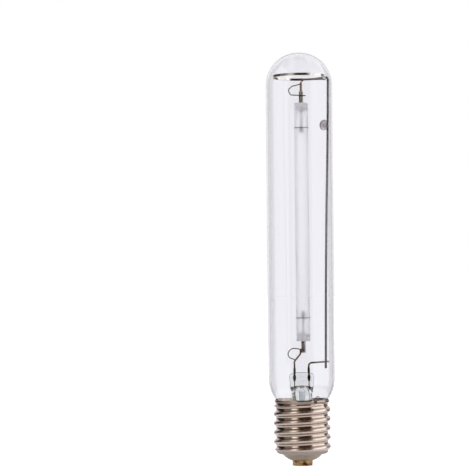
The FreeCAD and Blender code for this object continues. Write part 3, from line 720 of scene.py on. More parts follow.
@dataclass(frozen=True)
class Board(Finish):
    """Matt white board that stays white under soft light."""

    colour: Colour = (0.93, 0.93, 0.93)
    mottle: Colour = (0.9, 0.9, 0.9)
    beyond: Colour = (0.05, 0.035, 0.025)
    dark: Colour = (0.0, 0.0, 0.0)
    light: Colour = (0.88, 0.91, 1.0)
    seen_glow: float = 0.8
    thrown_glow: float = 0.4
    passed_glow: float = 0.135
    reach: float = 0.1

    def lifted(self, tree: Tree, glow: float, lit: Value | None = None) -> Socket:
        """White with a trace of mottling, lifted by a glow.

        Args:
            tree: where the nodes go.
            glow: strength of the glow.
            lit: 1 where the board is lit and 0 where it is dark, or None for lit all over.

        Returns:
            The shader.
        """
        base, light = tree.mix(tree.noise(6.0), self.colour, self.mottle), self.light
        if lit is not None:
            base, light = tree.mix(lit, self.beyond, base), tree.mix(lit, self.dark, light)
        glowing = {"Emission Color": light, "Emission Strength": glow}
        return tree.surface({"Base Color": base, "Roughness": 0.7, **glowing})

    def shade(self, tree: Tree) -> Socket:
        """The board as it is looked at, and a dimmer one in what it throws on the lamp.

        What the metal mirrors of it is bright within reach of the lamp and straight behind it.

        Args:
            tree: where the nodes go.

        Returns:
            The shader.
        """
        x, y, _ = tree.parts(tree.place())
        away = (x * x + y * y).power(0.5)
        lit = away.between(self.reach * 1.5, self.reach).larger((y / away).between(0.72, 0.92))
        mirrored = self.lifted(tree, self.thrown_glow, lit)
        passed = self.lifted(tree, self.passed_glow)
        thrown = tree.blend(tree.mirrored(), passed, mirrored)
        return tree.blend(tree.ray("Is Camera Ray"), thrown, self.lifted(tree, self.seen_glow))


BULB_GLASS = Glass("bulb_glass", colour=(0.982, 0.984, 0.99), bend=1.36, waviness=0.000002)
STEM_GLASS = Glass("stem_glass", (0.91, 0.93, 0.93), 1.6, 0.000012, 160.0, Grain.EVEN)
ALUMINA = Ceramic("alumina")
PLUG = Ceramic("plug_ceramic", colour=tint("D6D4D6"), shadow=tint("C3C0C5"), through=0.3)
FRIT = Mineral("frit", tint("8A8478"), tint("5E594F"), 0.25, 0.3, 900.0)
NIOBIUM = Metal("niobium", tint("A29D98"), tint("4C4843"), 0.24, 0.45, 420.0)
TUNGSTEN = Metal("tungsten", tint("5D5C60"), tint("2E2D31"), 0.3, 0.5, 600.0)
# the side rod turns darker all down its lower part, from 270 mm to 100 mm
FRAME_WIRE = DarkFootMetal(
    "frame_wire", tint("8E8D94"), tint("5E5D63"), 0.24, 0.42, 260.0,
    foot=tint("3A2429"), low=0.1, high=0.27,
)
LEAD_WIRE = DarkFootMetal(
    "lead_wire", tint("A08068"), tint("3A2C22"), 0.22, 0.45, 380.0,
    foot=tint("3C3024"), low=0.067, high=0.0715,
)
FLEX_WIRE = Metal(
    "lead_wire", tint("827A70"), tint("3A352F"), 0.24, 0.45, 380.0, variant="slack"
)
CROSS_WIRE = Metal("lead_wire", tint("B79C92"), tint("6B544B"), 0.2, 0.4, 500.0, variant="pale")
RING_STEEL = Metal(
    "ring_steel", tint("DCD6D2"), tint("ADA39C"), 0.08, 0.22, 200.0, grain=Grain.ROLLED
)
GETTER = Metal(
    "getter_metal", tint("DEDADF"), tint("B5B0B8"), 0.36, 0.55, 900.0, mark_depth=0.00008
)
AMALGAM = Metal("amalgam", tint("B9BABD"), tint("8C8D92"), 0.12, 0.3, 900.0)
PLATE = Plated("cap_nickel")
VITRITE = Mineral("vitrite", tint("A6937F"), tint("857261"), 0.3, 0.5, 240.0)
BRASS = Metal("contact_brass", tint("C0986A"), tint("523012"), 0.12, 0.3, 420.0, stain_to=0.64)
SOLDER = Metal("solder", tint("6E6A66"), tint("2E2B28"), 0.2, 0.42, 500.0, mark_depth=0.00006)
COPPER = Metal("copper_wire", tint("6A564B"), tint("2A211C"), 0.24, 0.45, 420.0)
CEMENT = Mineral("cement", tint("CFC5B4"), tint("AFA28E"), 0.8, 0.0, 420.0, depth=0.0003)
SLEEVE = Mineral(
    "sleeve_fibre", tint("D5CFBE"), tint("B4AC97"), 0.75, 0.0, 900.0, Grain.ROLLED, 0.0002
)


def add_piece(name: str, skin: Skin, finish: Finish, node: str) -> None:
    """Make one piece of the lamp from a skin, riding on the lamp.

    Args:
        name: the piece's name.
        skin: its surface in millimetres.
        finish: what it is made of.
        node: the solid of the frame that it stands for.
    """
    mesh = bpy.data.meshes.new(name)
    mesh.from_pydata((skin.points * MM).tolist(), [], skin.quads.tolist() + skin.fans.tolist())
    mesh.validate()
    mesh.shade_smooth()
    mesh.set_sharp_from_angle(angle=CRISP)
    mesh.materials.append(finish.material())
    piece = bpy.data.objects.new(name, mesh)
    bpy.context.scene.collection.objects.link(piece)
    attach(piece, "root")
    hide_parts(node)
    LOG.info("%s: %d faces, %s", name, len(mesh.polygons), finish.label)


# The lamp's sub-assemblies, sizes in millimetres and angles in degrees.


@dataclass
class Bulb:
    """Outer bulb of clear tube: round dome, straight wall, shoulder and neck."""

    radius: float = 23.0
    wall: float = 1.2
    top: float = 285.0
    dome_wall: float = 1.6
    shoulder_top: float = 60.0
    shoulder_radius: float = 25.0
    neck_radius: float = 16.4
    neck_blend: float = 6.0
    neck_foot: float = 22.0
    columns: int = 320

    def half_section(self, inset: float, crown: float) -> Array:
        """Section from the top down at a distance inside the outer surface.

        Dome: quarter circle stretched to reach top - crown. Shoulder and neck: two arcs that
        touch where the line between their centres crosses them.

        Args:
            inset: distance inside the outer surface.
            crown: distance below the top at the axis.

        Returns:
            Points (r, z) from the axis to the foot.
        """
        side = self.radius - inset
        centre_x = self.radius - self.shoulder_radius
        blend_x = self.neck_radius + self.neck_blend
        reach = self.shoulder_radius + self.neck_blend
        drop = math.sqrt(reach ** 2 - (blend_x - centre_x) ** 2)
        lean = math.degrees(math.atan2(drop, blend_x - centre_x))
        blend_z = self.shoulder_top - drop
        dome_z = self.top - self.radius
        dome = arc(0.0, 0.0, side, 90.0, 0.0, 80)
        dome[:, 1] = dome_z + dome[:, 1] * (self.radius - crown) / side
        up = np.linspace(dome_z, self.shoulder_top, 6)[1:-1]
        wall = np.stack([np.full(4, side), up], axis=-1)
        shoulder_radius = self.shoulder_radius - inset
        shoulder = arc(centre_x, self.shoulder_top, shoulder_radius, 0.0, -lean, 24)
        neck = arc(blend_x, blend_z, self.neck_blend + inset, 180.0 - lean, 180.0, 14)[1:]
        foot = np.array([[self.neck_radius - inset, self.neck_foot]])
        return np.concatenate([dome, wall, shoulder, neck, foot])

    def build(self) -> None:
        """One skin from the outer pole round the foot to the inner pole."""
        outer = self.half_section(0.0, 0.0)
        inner = self.half_section(self.wall, self.dome_wall)[::-1]
        skin = lathe(np.concatenate([outer, inner]), self.columns)
        add_piece("outer_bulb", skin, BULB_GLASS, "outer_envelope")


@dataclass
class Stem:
    """Glass stem: flare, tube and flat pinch, with its wires and the pumping tube.

    The press fields are heights where the round tube starts to change and where the flat pinch
    begins. The fields that end in wide and thick are half widths and half thicknesses, and slots
    are shares of the bore.
    """

    radius: float = 7.0
    wall: float = 1.0
    seat: float = 50.5
    flare_radius: float = 6.0
    flare_foot: float = Bulb.neck_foot
    neck_radius: float = Bulb.neck_radius
    press_wide: tuple[float, float] = (46.0, 56.0)
    press_thick: tuple[float, float] = (45.5, 56.5)
    press_power: tuple[float, float] = (47.0, 57.0)
    pinch_wide: float = 8.2
    pinch_thick: float = 2.75
    pinch_power: float = 3.6
    ridge_z: float = 58.6
    ridge_half: float = 0.45
    ridge_rise: float = 0.3
    crest: float = 60.6
    crest_wide: float = 8.6
    crest_thick: float = 2.5
    crest_power: float = 4.0
    top: float = 64.0
    crown_power: float = 3.0
    crown_thick_power: float = 4.5
    cavity_top: float = 53.2
    cavity_power: float = 3.0
    slot_wide: float = 0.86
    slot_thick: float = 0.16
    roof_lift: float = 1.5
    roof_foot: float = 48.5
    roof_reach: float = 5.0
    lead_x: float = 4.9
    seal_radius: float = 0.3
    bead_foot: float = 58.0
    bead_swell: float = 0.72
    lead_foot: float = 62.6
    pump_radius: float = 1.7
    pump_bore: float = 1.2
    pump_length: float = 24.0
    pump_tip: float = 3.4
    pump_melt: float = 0.6
    columns: int = 128

    def oblongs(self, up: Array, wide: Array, thick: Array, power: float | Array) -> Array:
        """Rings of a rounded oblong, a superellipse of the power n.

        Its points are x = w sign(cos a) |cos a| ^ (2 / n), y = t sign(sin a) |sin a| ^ (2 / n).

        Args:
            up: height of each ring.
            wide: half width w of each ring.
            thick: half thickness t of each ring.
            power: n, one for all or one for each ring.

        Returns:
            The rings, shape (rings, columns, 3).
        """
        angle = around(self.columns)[None]
        cosine, sine = np.cos(angle), np.sin(angle)
        exponent = 2.0 / np.reshape(power, (-1, 1))
        x = wide[:, None] * np.sign(cosine) * np.abs(cosine) ** exponent
        y = thick[:, None] * np.sign(sine) * np.abs(sine) ** exponent
        return np.stack([x, y, np.broadcast_to(up[:, None], x.shape)], axis=-1)

    def outside(self, base: float) -> Array:
        """Rings of the outer surface, from the flare's top to the crown.

        Half width and half thickness run smoothly from the round tube to the flat pinch, with a
        low ridge, a bell curve of the height, where the pressing jaws met. In the crown both
        shrink as powers of cos a while the height grows as a power of sin a.

        Args:
            base: height of the flare's top.

        Returns:
            The rings, from the bottom up.
        """
        up = np.linspace(base, self.crest, 60)
        tube = (self.radius, self.radius)
        wides = (*tube, self.pinch_wide, self.crest_wide)
        thicks = (*tube, self.pinch_thick, self.crest_thick)
        wide = ease(up, (base, *self.press_wide, self.crest), wides)
        thick = ease(up, (base, *self.press_thick, self.crest), thicks)
        thick += self.ridge_rise * np.exp(-(((up - self.ridge_z) / self.ridge_half) ** 2))
        powers = (2.0, 2.0, self.pinch_power, self.crest_power)
        power = ease(up, (base, *self.press_power, self.crest), powers)
        lean = np.radians(np.linspace(4.0, 86.0, 20))
        crown = self.oblongs(
            self.crest + (self.top - self.crest) * np.sin(lean) ** (2 / self.crown_power),
            self.crest_wide * np.cos(lean) ** (2 / self.crown_power),
            self.crest_thick * np.cos(lean) ** (2 / self.crown_thick_power),
            self.crest_power,
        )
        return np.concatenate([self.oblongs(up, wide, thick, power), crown])

    def inside(self, base: float) -> Array:
        """Rings of the cavity, from its roof down to the flare's top.

        The tube narrows to a slot: near the roof its half sizes grow as the root of the depth,
        lower down they ease to the bore. The roof is lifted by a squared sine of x on both sides
        of the pumping hole.

        Args:
            base: height of the flare's top.

        Returns:
            The rings, from the roof down.
        """
        bore = self.radius - self.wall
        up = np.linspace(self.cavity_top - 0.15, base, 46)
        depth = self.cavity_top - up
        slot_wide, slot_thick = self.slot_wide, self.slot_thick
        wide = slot_wide * np.minimum(depth / 1.6, 1.0) ** 0.5
        wide += (1 - slot_wide) * fades(depth, 1.0, 8.0)
        thick = slot_thick * np.minimum(depth / 0.8, 1.0) ** 0.5
        thick += (1 - slot_thick) * fades(depth, -1.0, 8.5)
        knots, powers = (base, self.press_wide[0], self.cavity_top), (2.0, 2.0, self.cavity_power)
        rows = self.oblongs(up, bore * wide, bore * thick, ease(up, knots, powers))
        share = np.clip(np.abs(rows[..., 0]) / self.roof_reach, 0, 1)
        lift = self.roof_lift * np.sin(share * math.pi) ** 2
        rows[..., 2] += lift * fades(rows[..., 2], self.roof_foot, self.cavity_top)
        return rows

    def glass(self) -> Skin:
        """Stem and pinch as one skin, from the cavity's roof out over the flare to the crown.

        Returns:
            The skin, closed by a pole in the roof and one on the crown.
        """
        across, base = self.radius + self.flare_radius, self.flare_foot + self.flare_radius
        under = arc(across, base, self.flare_radius + self.wall, 180.0, 270.0, 12)[1:]
        over = arc(across, base, self.flare_radius, 270.0, 180.0, 12)[:-1]
        rim = [(self.neck_radius, self.flare_foot - self.wall), (self.neck_radius, self.flare_foot)]
        lip = np.concatenate([under, rim, over])
        flare = self.oblongs(lip[:, 1], lip[:, 0], lip[:, 0], 2.0)
        rows = np.concatenate([self.inside(base), flare, self.outside(base)])
        return grid_skin(rows, (0, 0, self.cavity_top), (0, 0, self.top))

    def seal_wire(self, side: Side) -> Skin:
        """Wire in the pinch: thin wire, lens-shaped foil bead and the lead's foot.

        Args:
            side: which of the two wires.

        Returns:
            The skin, a lathe about the wire's own axis.
        """
        thin, bead, lead = self.seal_radius, self.bead_foot, self.lead_foot
        belly = arc(0.0, 0.0, 1.0, -90.0, 90.0, 15)
        lens = belly * [self.bead_swell, (lead - bead) / 2] + [thin, (bead + lead) / 2]
        wire = [(0, self.seat), (thin, self.seat), (thin, bead - 0.4)]
        section = np.concatenate([wire, lens, [(thin * 2, lead - 0.05), (0, lead)]])
        return lathe(section, 24).moved(self.lead_x * side.value)

    def pump(self) -> Skin:
        """Pumping tube, open at its seat, with a melted-off tip below: a half ellipse.

        Returns:
            The skin, a lathe about the axis.
        """
        base = [0.0, self.seat - self.pump_length + self.pump_tip]
        outer = arc(0.0, 0.0, 1.0, -90.0, 0.0, 12) * [self.pump_radius, self.pump_tip] + base
        bore = [self.pump_bore, self.pump_tip * self.pump_melt]
        inner = arc(0.0, 0.0, 1.0, 0.0, -90.0, 12) * bore + base
        rim = [(self.pump_radius, self.seat), (self.pump_bore, self.seat)]
        return lathe(np.concatenate([outer, rim, inner]), 32)

    def build(self) -> None:
        """The stem's glass, seal wires and pumping tube."""
        add_piece("stem_and_pinch", self.glass(), STEM_GLASS, "stem_flare")
        for side in Side:
            name = side.name.lower() + "_seal"
            add_piece(name, self.seal_wire(side), LEAD_WIRE, name + "_wire")
        add_piece("pumping_tube", self.pump(), STEM_GLASS, "exhaust_tube")


@dataclass
class Mount:
    """Wires that carry the arc tube: leads, side rod, ring, cross wire, flexes and getter."""

    lead_x: float = Stem.lead_x
    lead_foot: float = Stem.lead_foot
    lead_radius: float = 0.6
    lead_bend: float = 2.2
    lead_swell: float = 0.22
    swell_top: float = 66.2
    swell_end: float = 67.8
    support_x: float = -0.67
    support_heights: tuple[float, float, float] = (71.6, 76.7, 79.9)
    rod_lead_x: float = 19.1
    rod_lead_heights: tuple[float, float] = (70.4, 71.3)
    rod_radius: float = 0.82
    rod_foot: Point = (16.8, -1.4233, 66.6)
    rod_top: Point = (20.35, 0.0, 267.775)
    rod_bend: float = 1.5
    rod_bow: float = 0.5
    hook_gap: float = 0.02
    arc_x: float = 1.4
    cross_x: float = 18.85
    cross_z: float = 266.455
    cross_foot: float = 252.7
    cross_bend: float = 3.2
    cross_radius: float = 0.5
    cross_swell: float = 0.38
    flex_radius: float = 0.35
    upper_flex: Corners = (
        (1.8, -0.92, 263.4), (-4.9, -0.92, 261.6), (-7.5, -1.37, 259.0), (-5.9, -1.82, 255.6),
        (4.6, -1.82, 255.0),
    )
    upper_bend: float = 1.3
    lower_flex: Corners = (
        (2.2, -1.82, 79.5), (-6.8, -1.82, 80.8), (-9.9, -1.4, 76.9), (-8.2, -0.97, 74.0),
        (-4.2, -0.97, 72.6),
    )
    lower_bends: Sequence[float] = (3.6, 3.0, 3.0)
    ring_radius: float = 18.2
    ring_strip: float = 0.35
    ring_foot: float = 267.5
    ring_height: float = 1.7
    ring_edge: float = 0.06
    cup_radius: float = 3.7
    cup_hub: float = 1.5
    cup_depth: float = 1.5
    cup_wall: float = 0.3
    cup_floor: float = 0.35
    cup_bends: Sequence[float] = (0.25, 0.1, 0.1, 0.3, 0.3, 0.2)
    cup_place: Point = (17.6, 2.3367, 234.8)
    cup_turn: float = -36.0
    tab: Corners = ((0, -1), (1, -1), (1, 1), (-1, 1), (-1, -1), (0, -1))
    tab_edge: float = 0.25
    tab_half: Point = (2.2, 0.15, 1.0)
    tab_place: Point = (18.318, 0.6867, 234.8)

    def leads(self) -> None:
        """The two thick wires that rise from the pinch, thicker at their feet."""
        x, foot, inner, outer = self.lead_x, self.lead_foot, self.support_x, self.rod_lead_x
        low, high, end = self.support_heights
        support = [(-x, 0, foot), (-x, 0, low), (inner, 0, high), (inner, 0, end)]
        low, high = self.rod_lead_heights
        rod = [(x, 0, foot), (x, 0, low), (outer, 0, high)]
        pair = (("support_lead", support, "lower_support_lead"), ("rod_lead", rod, "frame_lead"))
        for name, corners, node in pair:
            path = rounded(corners, self.lead_bend)
            marks = [[path[0, 0], 0, up] for up in (self.swell_top, self.swell_end)]
            path = np.insert(path, 1, marks, axis=0)
            thick = self.lead_radius + self.lead_swell * (path[:, 2] < self.swell_end)
            add_piece(name, sweep(path, thick), LEAD_WIRE, node)

    def rod(self) -> None:
        """Side rod with its short hook on the ring.

        The rod is not quite straight: its lower half is bent inwards by the bow.
        """
        foot, top = np.array(self.rod_foot), np.array(self.rod_top)
        share = np.linspace(0.0, 0.96, 24)[:, None]
        rise = foot + (top - foot) * share
        rise[:, :1] -= self.rod_bow * ease(share, (0.0, 0.3, 0.48, 0.86), (0.4, 1.0, 1.0, 0.0))
        tip = (self.ring_radius + self.hook_gap, 0, top[2])
        hook = rounded([rise[-1], top, tip], self.rod_bend)
        path = np.concatenate([rise[:-1], hook])
        add_piece("side_rod", sweep(path, self.rod_radius, 20), FRAME_WIRE, "frame_rod")

    def cross_wire(self) -> None:
        """Wire from the rod to the arc tube's upper feed tube, thicker on its upright run."""
        x, z = self.arc_x, self.cross_z
        path = rounded([(self.cross_x, 0, z), (x, 0, z), (x, 0, self.cross_foot)], self.cross_bend)
        thick = self.cross_radius + self.cross_swell * fades(z - path[:, 2], 1.5, 3.5)
        add_piece("cross_wire", sweep(path, thick), CROSS_WIRE, "top_cross_wire")

    def flexes(self) -> None:
        """Slack wires past the two loose joints, each bent as it was by hand."""
        upper = sweep(rounded(self.upper_flex, self.upper_bend), self.flex_radius, 12)
        lower = sweep(rounded(self.lower_flex, self.lower_bends), self.flex_radius, 12)
        add_piece("upper_flex", upper, FLEX_WIRE, "upper_flex_wire")
        add_piece("lower_flex", lower, FLEX_WIRE, "lower_flex_wire")

    def ring(self) -> None:
        """Flat strip rolled to a ring, with softened edges."""
        soft, outer, inner = self.ring_edge, self.ring_radius, self.ring_radius - self.ring_strip
        foot, top = self.ring_foot, self.ring_foot + self.ring_height
        strip = [
            (outer - soft, foot), (outer, foot + soft), (outer, top - soft), (outer - soft, top),
            (inner + soft, top), (inner, top - soft), (inner, foot + soft), (inner + soft, foot),
        ]
        add_piece("top_ring", lathe(np.array(strip), 160), RING_STEEL, "dome_ring")

    def getter(self) -> None:
        """Shallow pressed cup and the tab that holds it.

        The cup is a lathe whose axis is laid forward and turned aside by the angle t: with h half
        of its depth and z less h, a point (x, y, z) goes to
        (x cos t + z sin t, x sin t - z cos t - h, y). The tab is a flat bar with rounded edges.
        """
        rim, hub, deep, floor = self.cup_radius, self.cup_hub, self.cup_depth, self.cup_floor
        wall, half, turn = self.cup_wall, self.cup_depth / 2, math.radians(self.cup_turn)
        section = [
            (0, 0), (rim, 0), (rim, deep), (rim - wall, deep), (rim - wall, floor),
            (hub + wall, floor), (hub, deep), (0, deep),
        ]
        skin = lathe(rounded(section, self.cup_bends, 5))
        cosine, sine = math.cos(turn), math.sin(turn)
        x, y, z = (skin.points - [0.0, 0.0, half]).T
        laid = np.stack([x * cosine + z * sine, x * sine - z * cosine - half, y], axis=-1)
        cup = Skin(laid, skin.quads, skin.fans).facing_out().moved(*self.cup_place)
        add_piece("getter_cup", cup, GETTER, "getter_disc")
        edge = rounded(self.tab, self.tab_edge, 4)[:-1]
        across = np.linspace(-1.0, 1.0, 21)[:, None]
        rows = np.stack(np.broadcast_arrays(across, edge[:, 0], edge[:, 1]), axis=-1)
        rows = rows * self.tab_half
        tab = grid_skin(rows, rows[0].mean(0), rows[-1].mean(0)).moved(*self.tab_place)
        add_piece("getter_tab", tab, GETTER, "getter_strap")

    def build(self) -> None:
        """All wires of the mount."""
        self.leads()
        self.rod()
        self.cross_wire()
        self.flexes()
        self.ring()
        self.getter()


@dataclass
class ArcTube:
    """Ceramic arc tube with plugs, feed tubes, electrodes and the starting wire."""

    x: float = Mount.arc_x
    radius: float = 4.75
    wall: float = 0.8
    edge: float = 0.2
    foot: float = 85.5
    top: float = 250.0
    plug_length: float = 5.0
    plug_start: float = 2.6
    feed_radius: float = 1.45
    feed_start: float = 1.2
    feed_wall: float = 0.5
    feed_reach: float = 8.0
    feed_collar: float = 0.9
    frit_radius: float = 2.35
    frit_shoulder: tuple[float, float] = (1.75, -0.18)
    frit_rise: float = 0.5
    shank_depth: float = 2.0
    shank_taper: float = 0.3
    rod_radius: float = 0.5
    rod_length: float = 15.0
    coil_radius: float = 0.88
    coil_wire: float = 0.36
    coil_turns: float = 5.0
    coil_pitch: float = 0.68
    coil_back: float = 1.15
    aid_radius: float = 0.2
    aid_gap: float = 0.02
    aid_bend: float = 0.9
    aid_high: float = 232.8
    aid_low: float = 101.5
    aid_azimuth: float = 40.0
    aid_wrap: float = 335.0
    bead_radius: float = 0.75
    bead_x: float = -2.4

    def tube(self) -> Skin:
        """Ceramic tube with slightly rounded ends.

        Returns:
            The skin, a looped lathe.
        """
        bore, edge = self.radius - self.wall, self.edge
        up = np.linspace(self.foot + edge, self.top - edge, 40)
        outer = np.stack([np.full(40, self.radius), up], axis=-1)
        inner = np.stack([np.full(40, bore), up[::-1]], axis=-1)
        head = [(self.radius - edge, self.top), (bore + edge, self.top)]
        foot = [(bore + edge, self.foot), (self.radius - edge, self.foot)]
        return lathe(np.concatenate([outer, head, inner, foot]), 96).moved(self.x)

    def end(self, end: End) -> None:
        """Plug, frit, feed tube, electrode and coil of one end.

        Each is a lathe of rounded corners, heights counted inwards from the tube's end face. The
        coil is a helix about the electrode.

        Args:
            end: which end.
        """
        face = self.top if end is End.UPPER else self.foot
        name, inward = end.name.lower(), end.value
        bore, feed = self.radius - self.wall, self.feed_radius
        feed_bore, rod, deep = feed - self.feed_wall, self.rod_radius, self.plug_length
        out, collar = -self.feed_reach, deep + self.feed_collar
        tip, shank, taper = collar + self.rod_length, self.shank_depth, self.shank_taper
        plug_start, feed_start = self.plug_start, self.feed_start
        plug = ((plug_start, 0), (bore, 0), (bore, deep), (feed, deep), (feed, 0), (plug_start, 0))
        tube = ((feed_start, out), (feed, out), (feed, collar), (feed_bore, collar),
                (feed_bore, out), (feed_start, out))
        frit = ((feed, 0), (self.frit_radius, 0), self.frit_shoulder, (feed, -self.frit_rise),
                (feed, 0))
        electrode = ((0, collar - shank), (feed_bore, collar - shank), (feed_bore, collar),
                     (rod, collar + taper), (rod, tip), (0, tip))
        turned = (
            ("plug", "end_plug", plug, PLUG, 0.12, 40),
            ("feed", "niobium_tube", tube, NIOBIUM, 0.12, 32),
            ("frit", "frit_seal", frit, FRIT, 0.05, 40),
            ("electrode", "electrode_rod", electrode, TUNGSTEN, 0.15, 24),
        )
        for piece, node, corners, finish, bend, columns in turned:
            line = np.array(corners, float) * [1, inward] + [0, face]
            skin = lathe(rounded(line, bend, 4), columns).moved(self.x)
            add_piece(f"{name}_{piece}", skin, finish, f"{name}_{node}")
        turn = np.linspace(0.0, self.coil_turns, 121)
        up = face + (tip - self.coil_back - turn * self.coil_pitch) * inward
        helix = polar(self.coil_radius, turn * TURN, up) + [self.x, 0.0, 0.0]
        coil = sweep(helix, self.coil_wire, 10, 0.2)
        add_piece(name + "_coil", coil, TUNGSTEN, name + "_electrode_coil")

    def starting_wire(self) -> Skin:
        """Open loop round each end of the tube, joined by a straight wire behind it.

        The loops are circles of the tube's radius plus the wire's. Each ends in an arc that
        leaves along the circle's own direction and turns to the vertical.

        Returns:
            The skin, one wire from end to end.
        """
        reach = self.radius + self.aid_radius + self.aid_gap
        end = math.radians(self.aid_azimuth)
        angle = np.linspace(end - math.radians(self.aid_wrap), end, 90)
        loop = polar(reach, angle, 0.0) + [self.x, 0.0, 0.0]
        heading = np.array([-math.sin(end), math.cos(end), 0.0])
        lean = np.radians(np.linspace(0.0, 90.0, 8))[1:, None]
        bow = loop[-1] + heading * self.aid_bend * np.sin(lean)
        drop = np.array([0.0, 0.0, self.aid_bend]) * (1 - np.cos(lean))
        high, low = [0.0, 0.0, self.aid_high], [0.0, 0.0, self.aid_low]
        upper = [loop + high, bow + high - drop]
        lower = [(bow + low + drop)[::-1], (loop + low)[::-1]]
        return sweep(np.concatenate(upper + lower), self.aid_radius, 10, 0.1)

    def build(self) -> None:
        """The tube, both ends, the starting wire and the amalgam."""
        add_piece("ceramic_tube", self.tube(), ALUMINA, "arc_tube")
        self.end(End.UPPER)
        self.end(End.LOWER)
        add_piece("starting_wire", self.starting_wire(), TUNGSTEN, "starting_aid_wire")
        floor = self.foot + self.plug_length
        bead = np.concatenate([[[0.0, floor]], arc(0.0, floor, self.bead_radius, 0.0, 90.0, 10)])
        drop = lathe(bead, 24).moved(self.x + self.bead_x)
        add_piece("amalgam_drop", drop, AMALGAM, "amalgam_bead")


@dataclass
class ScrewCap:
    """Rolled screw shell with its insulator, contact, solder, cement and inner wires."""

    crest: float = 19.75
    root: float = 17.95
    pitch: float = 6.35
    round_radius: float = 1.85
    crest_height: float = 32.3
    sheet: float = 0.5
    barrel_top: float = 42.6
    barrel_foot: float = 10.2
    fade_low: float = 9.4
    fade_high: float = 43.0
    fade: float = 2.2
    turn_radius: float = 2.0
    turn_end: float = -75.0
    lip: Corners = ((13.9, 7.58), (13.771, 8.063))
    rim_radius: float = 19.25
    rim_top: float = 45.0
    rim_strip: float = 0.4
    rim_bends: Sequence[float] = (0.5, 0.12, 0.12, 0.4)
    bowl: Corners = ((8.1, 3.7), (13.5, 7.58))
    bowl_radius: float = 11.0
    bowl_seat: Corners = ((7.0, 4.05), (7.55, 4.05))
    bowl_floor: float = 12.8
    hole: float = 1.0
    socket: float = 3.0
    socket_top: float = 9.0
    button: Corners = ((1.0, 1.3), (3.2, 0.0), (6.9, 0.0), (7.0, 1.2), (7.28, 3.7), (3.0, 3.7))
    button_bends: Sequence[float] = (0.2, 0.35, 0.55, 0.6, 0.18, 0.1, 0.1)
    fill: Corners = (
        (0, 1.3), (0.9, 1.3), (1.4, 1.0), (2.3, 0.5), (2.6, 0.36), (1.8, 0.26), (0.9, 0.23),
        (0, 0.24),
    )
    rim_wire: Corners = (
        (Stem.lead_x, 0.0, Stem.seat), (Stem.lead_x, 0.0, 18.0), (16.925, -66.0, 18.0),
        (16.925, -66.0, 42.6), (18.385, -66.0, 45.0), (20.30, -60.5, 48.3), (20.30, -55.0, 47.5),
        (19.52, -63.0, 44.2),
    )
    rim_wire_radius: float = 0.25
    rim_wire_bend: float = 0.8
    drop_place: Point = (19.35, -63.0, 44.0)
    drop_size: Point = (1.0, 1.0, 1.15)
    drop_seed: float = 1.3
    cement: Corners = (
        (17.0, 28.0), (17.45, 28.0), (17.45, 40.378), (17.0, 40.6), (16.4, 40.378), (16.4, 28.0),
        (17.0, 28.0),
    )
    cement_edge: float = 0.15
    lead: Corners = (
        (-Stem.lead_x, 0, Stem.seat), (-Stem.lead_x, 0, 28.5), (0, 0, 18.0), (0, 0, 1.3),
    )
    lead_radius: float = 0.45
    lead_bend: float = 2.2
    sleeve: Corners = (
        (0.8, 32.0), (1.0, 32.0), (1.0, 48.0), (0.6, 48.0), (0.6, 32.0), (0.8, 32.0),
    )
    sleeve_edge: float = 0.08
    columns: int = 192

    def thread(self, up: Array) -> Array:
        """Radius of the shell on a grid of heights and directions.

        With t the height above or below the nearest crest of the right-hand thread and c the
        round radius, the radius is crest - c + sqrt(c squared - t squared) up to a quarter of the
        pitch, and beyond it root + c - sqrt(c squared - (half a pitch - t) squared). It fades to
        the root at both ends.

        Args:
            up: heights in millimetres, one for each row.

        Returns:
            Radii, shape (rows, columns).
        """
        turn = np.arange(self.columns) / self.columns
        lead = (up[:, None] - self.crest_height) / self.pitch - turn[None]
        away = np.abs(lead - np.round(lead)) * self.pitch
        bow, quarter = self.round_radius, self.pitch / 4
        hill = self.crest - bow + np.sqrt(bow ** 2 - np.minimum(away, quarter) ** 2)
        dip = np.minimum(self.pitch / 2 - away, quarter)
        dale = self.root + bow - np.sqrt(bow ** 2 - dip ** 2)
        wave = np.where(away <= quarter, hill, dale)
        rise = fades(up, self.fade_low, self.fade_low + self.fade)
        stay = rise * (1 - fades(up, self.fade_high - self.fade, self.fade_high))
        return self.root + (wave - self.root) * stay[:, None]

    def rings(self, radius: Array, up: Array) -> Array:
        """Rows of points from radii and heights."""
        return polar(radius, around(self.columns), up[:, None])

    def plain(self, section: Array) -> Array:
        """Rows of a section that is the same all round."""
        return self.rings(section[:, :1], section[:, 1])

    def turn_in(self, inset: float, count: int) -> Array:
        """Arc at the barrel's foot, from its inner end out to the barrel."""
        across, radius = self.root - self.turn_radius, self.turn_radius - inset
        return arc(across, self.barrel_foot, radius, self.turn_end, 0.0, count)

    def shell(self) -> Skin:
        """Sheet shell as one looped section: foot, threaded wall, flared rim, and back inside.

        Returns:
            The skin of the sheet.
        """
        up = np.linspace(self.barrel_foot, self.barrel_top, 190)
        down = np.linspace(self.barrel_top, self.barrel_foot, 120)
        back = self.turn_in(self.sheet, 8)[-2::-1]
        rim = [
            (self.root, self.barrel_top), (19.0, 43.75), (self.rim_radius, self.rim_top),
            (self.rim_radius - self.rim_strip, self.rim_top), (18.6, 44.0),
            (self.root - self.sheet, self.barrel_top + 0.25),
        ]
        rows = (
            self.plain(np.concatenate([self.lip[:1], self.turn_in(0.0, 10)[:-1]])),
            self.rings(self.thread(up), up),
            self.plain(rounded(rim, self.rim_bends, 5)[1:-1]),
            self.rings(self.thread(down) - self.sheet, down),
            self.plain(np.concatenate([back, self.lip[1:]])),
        )
        return grid_skin(np.concatenate(rows), looped=True)

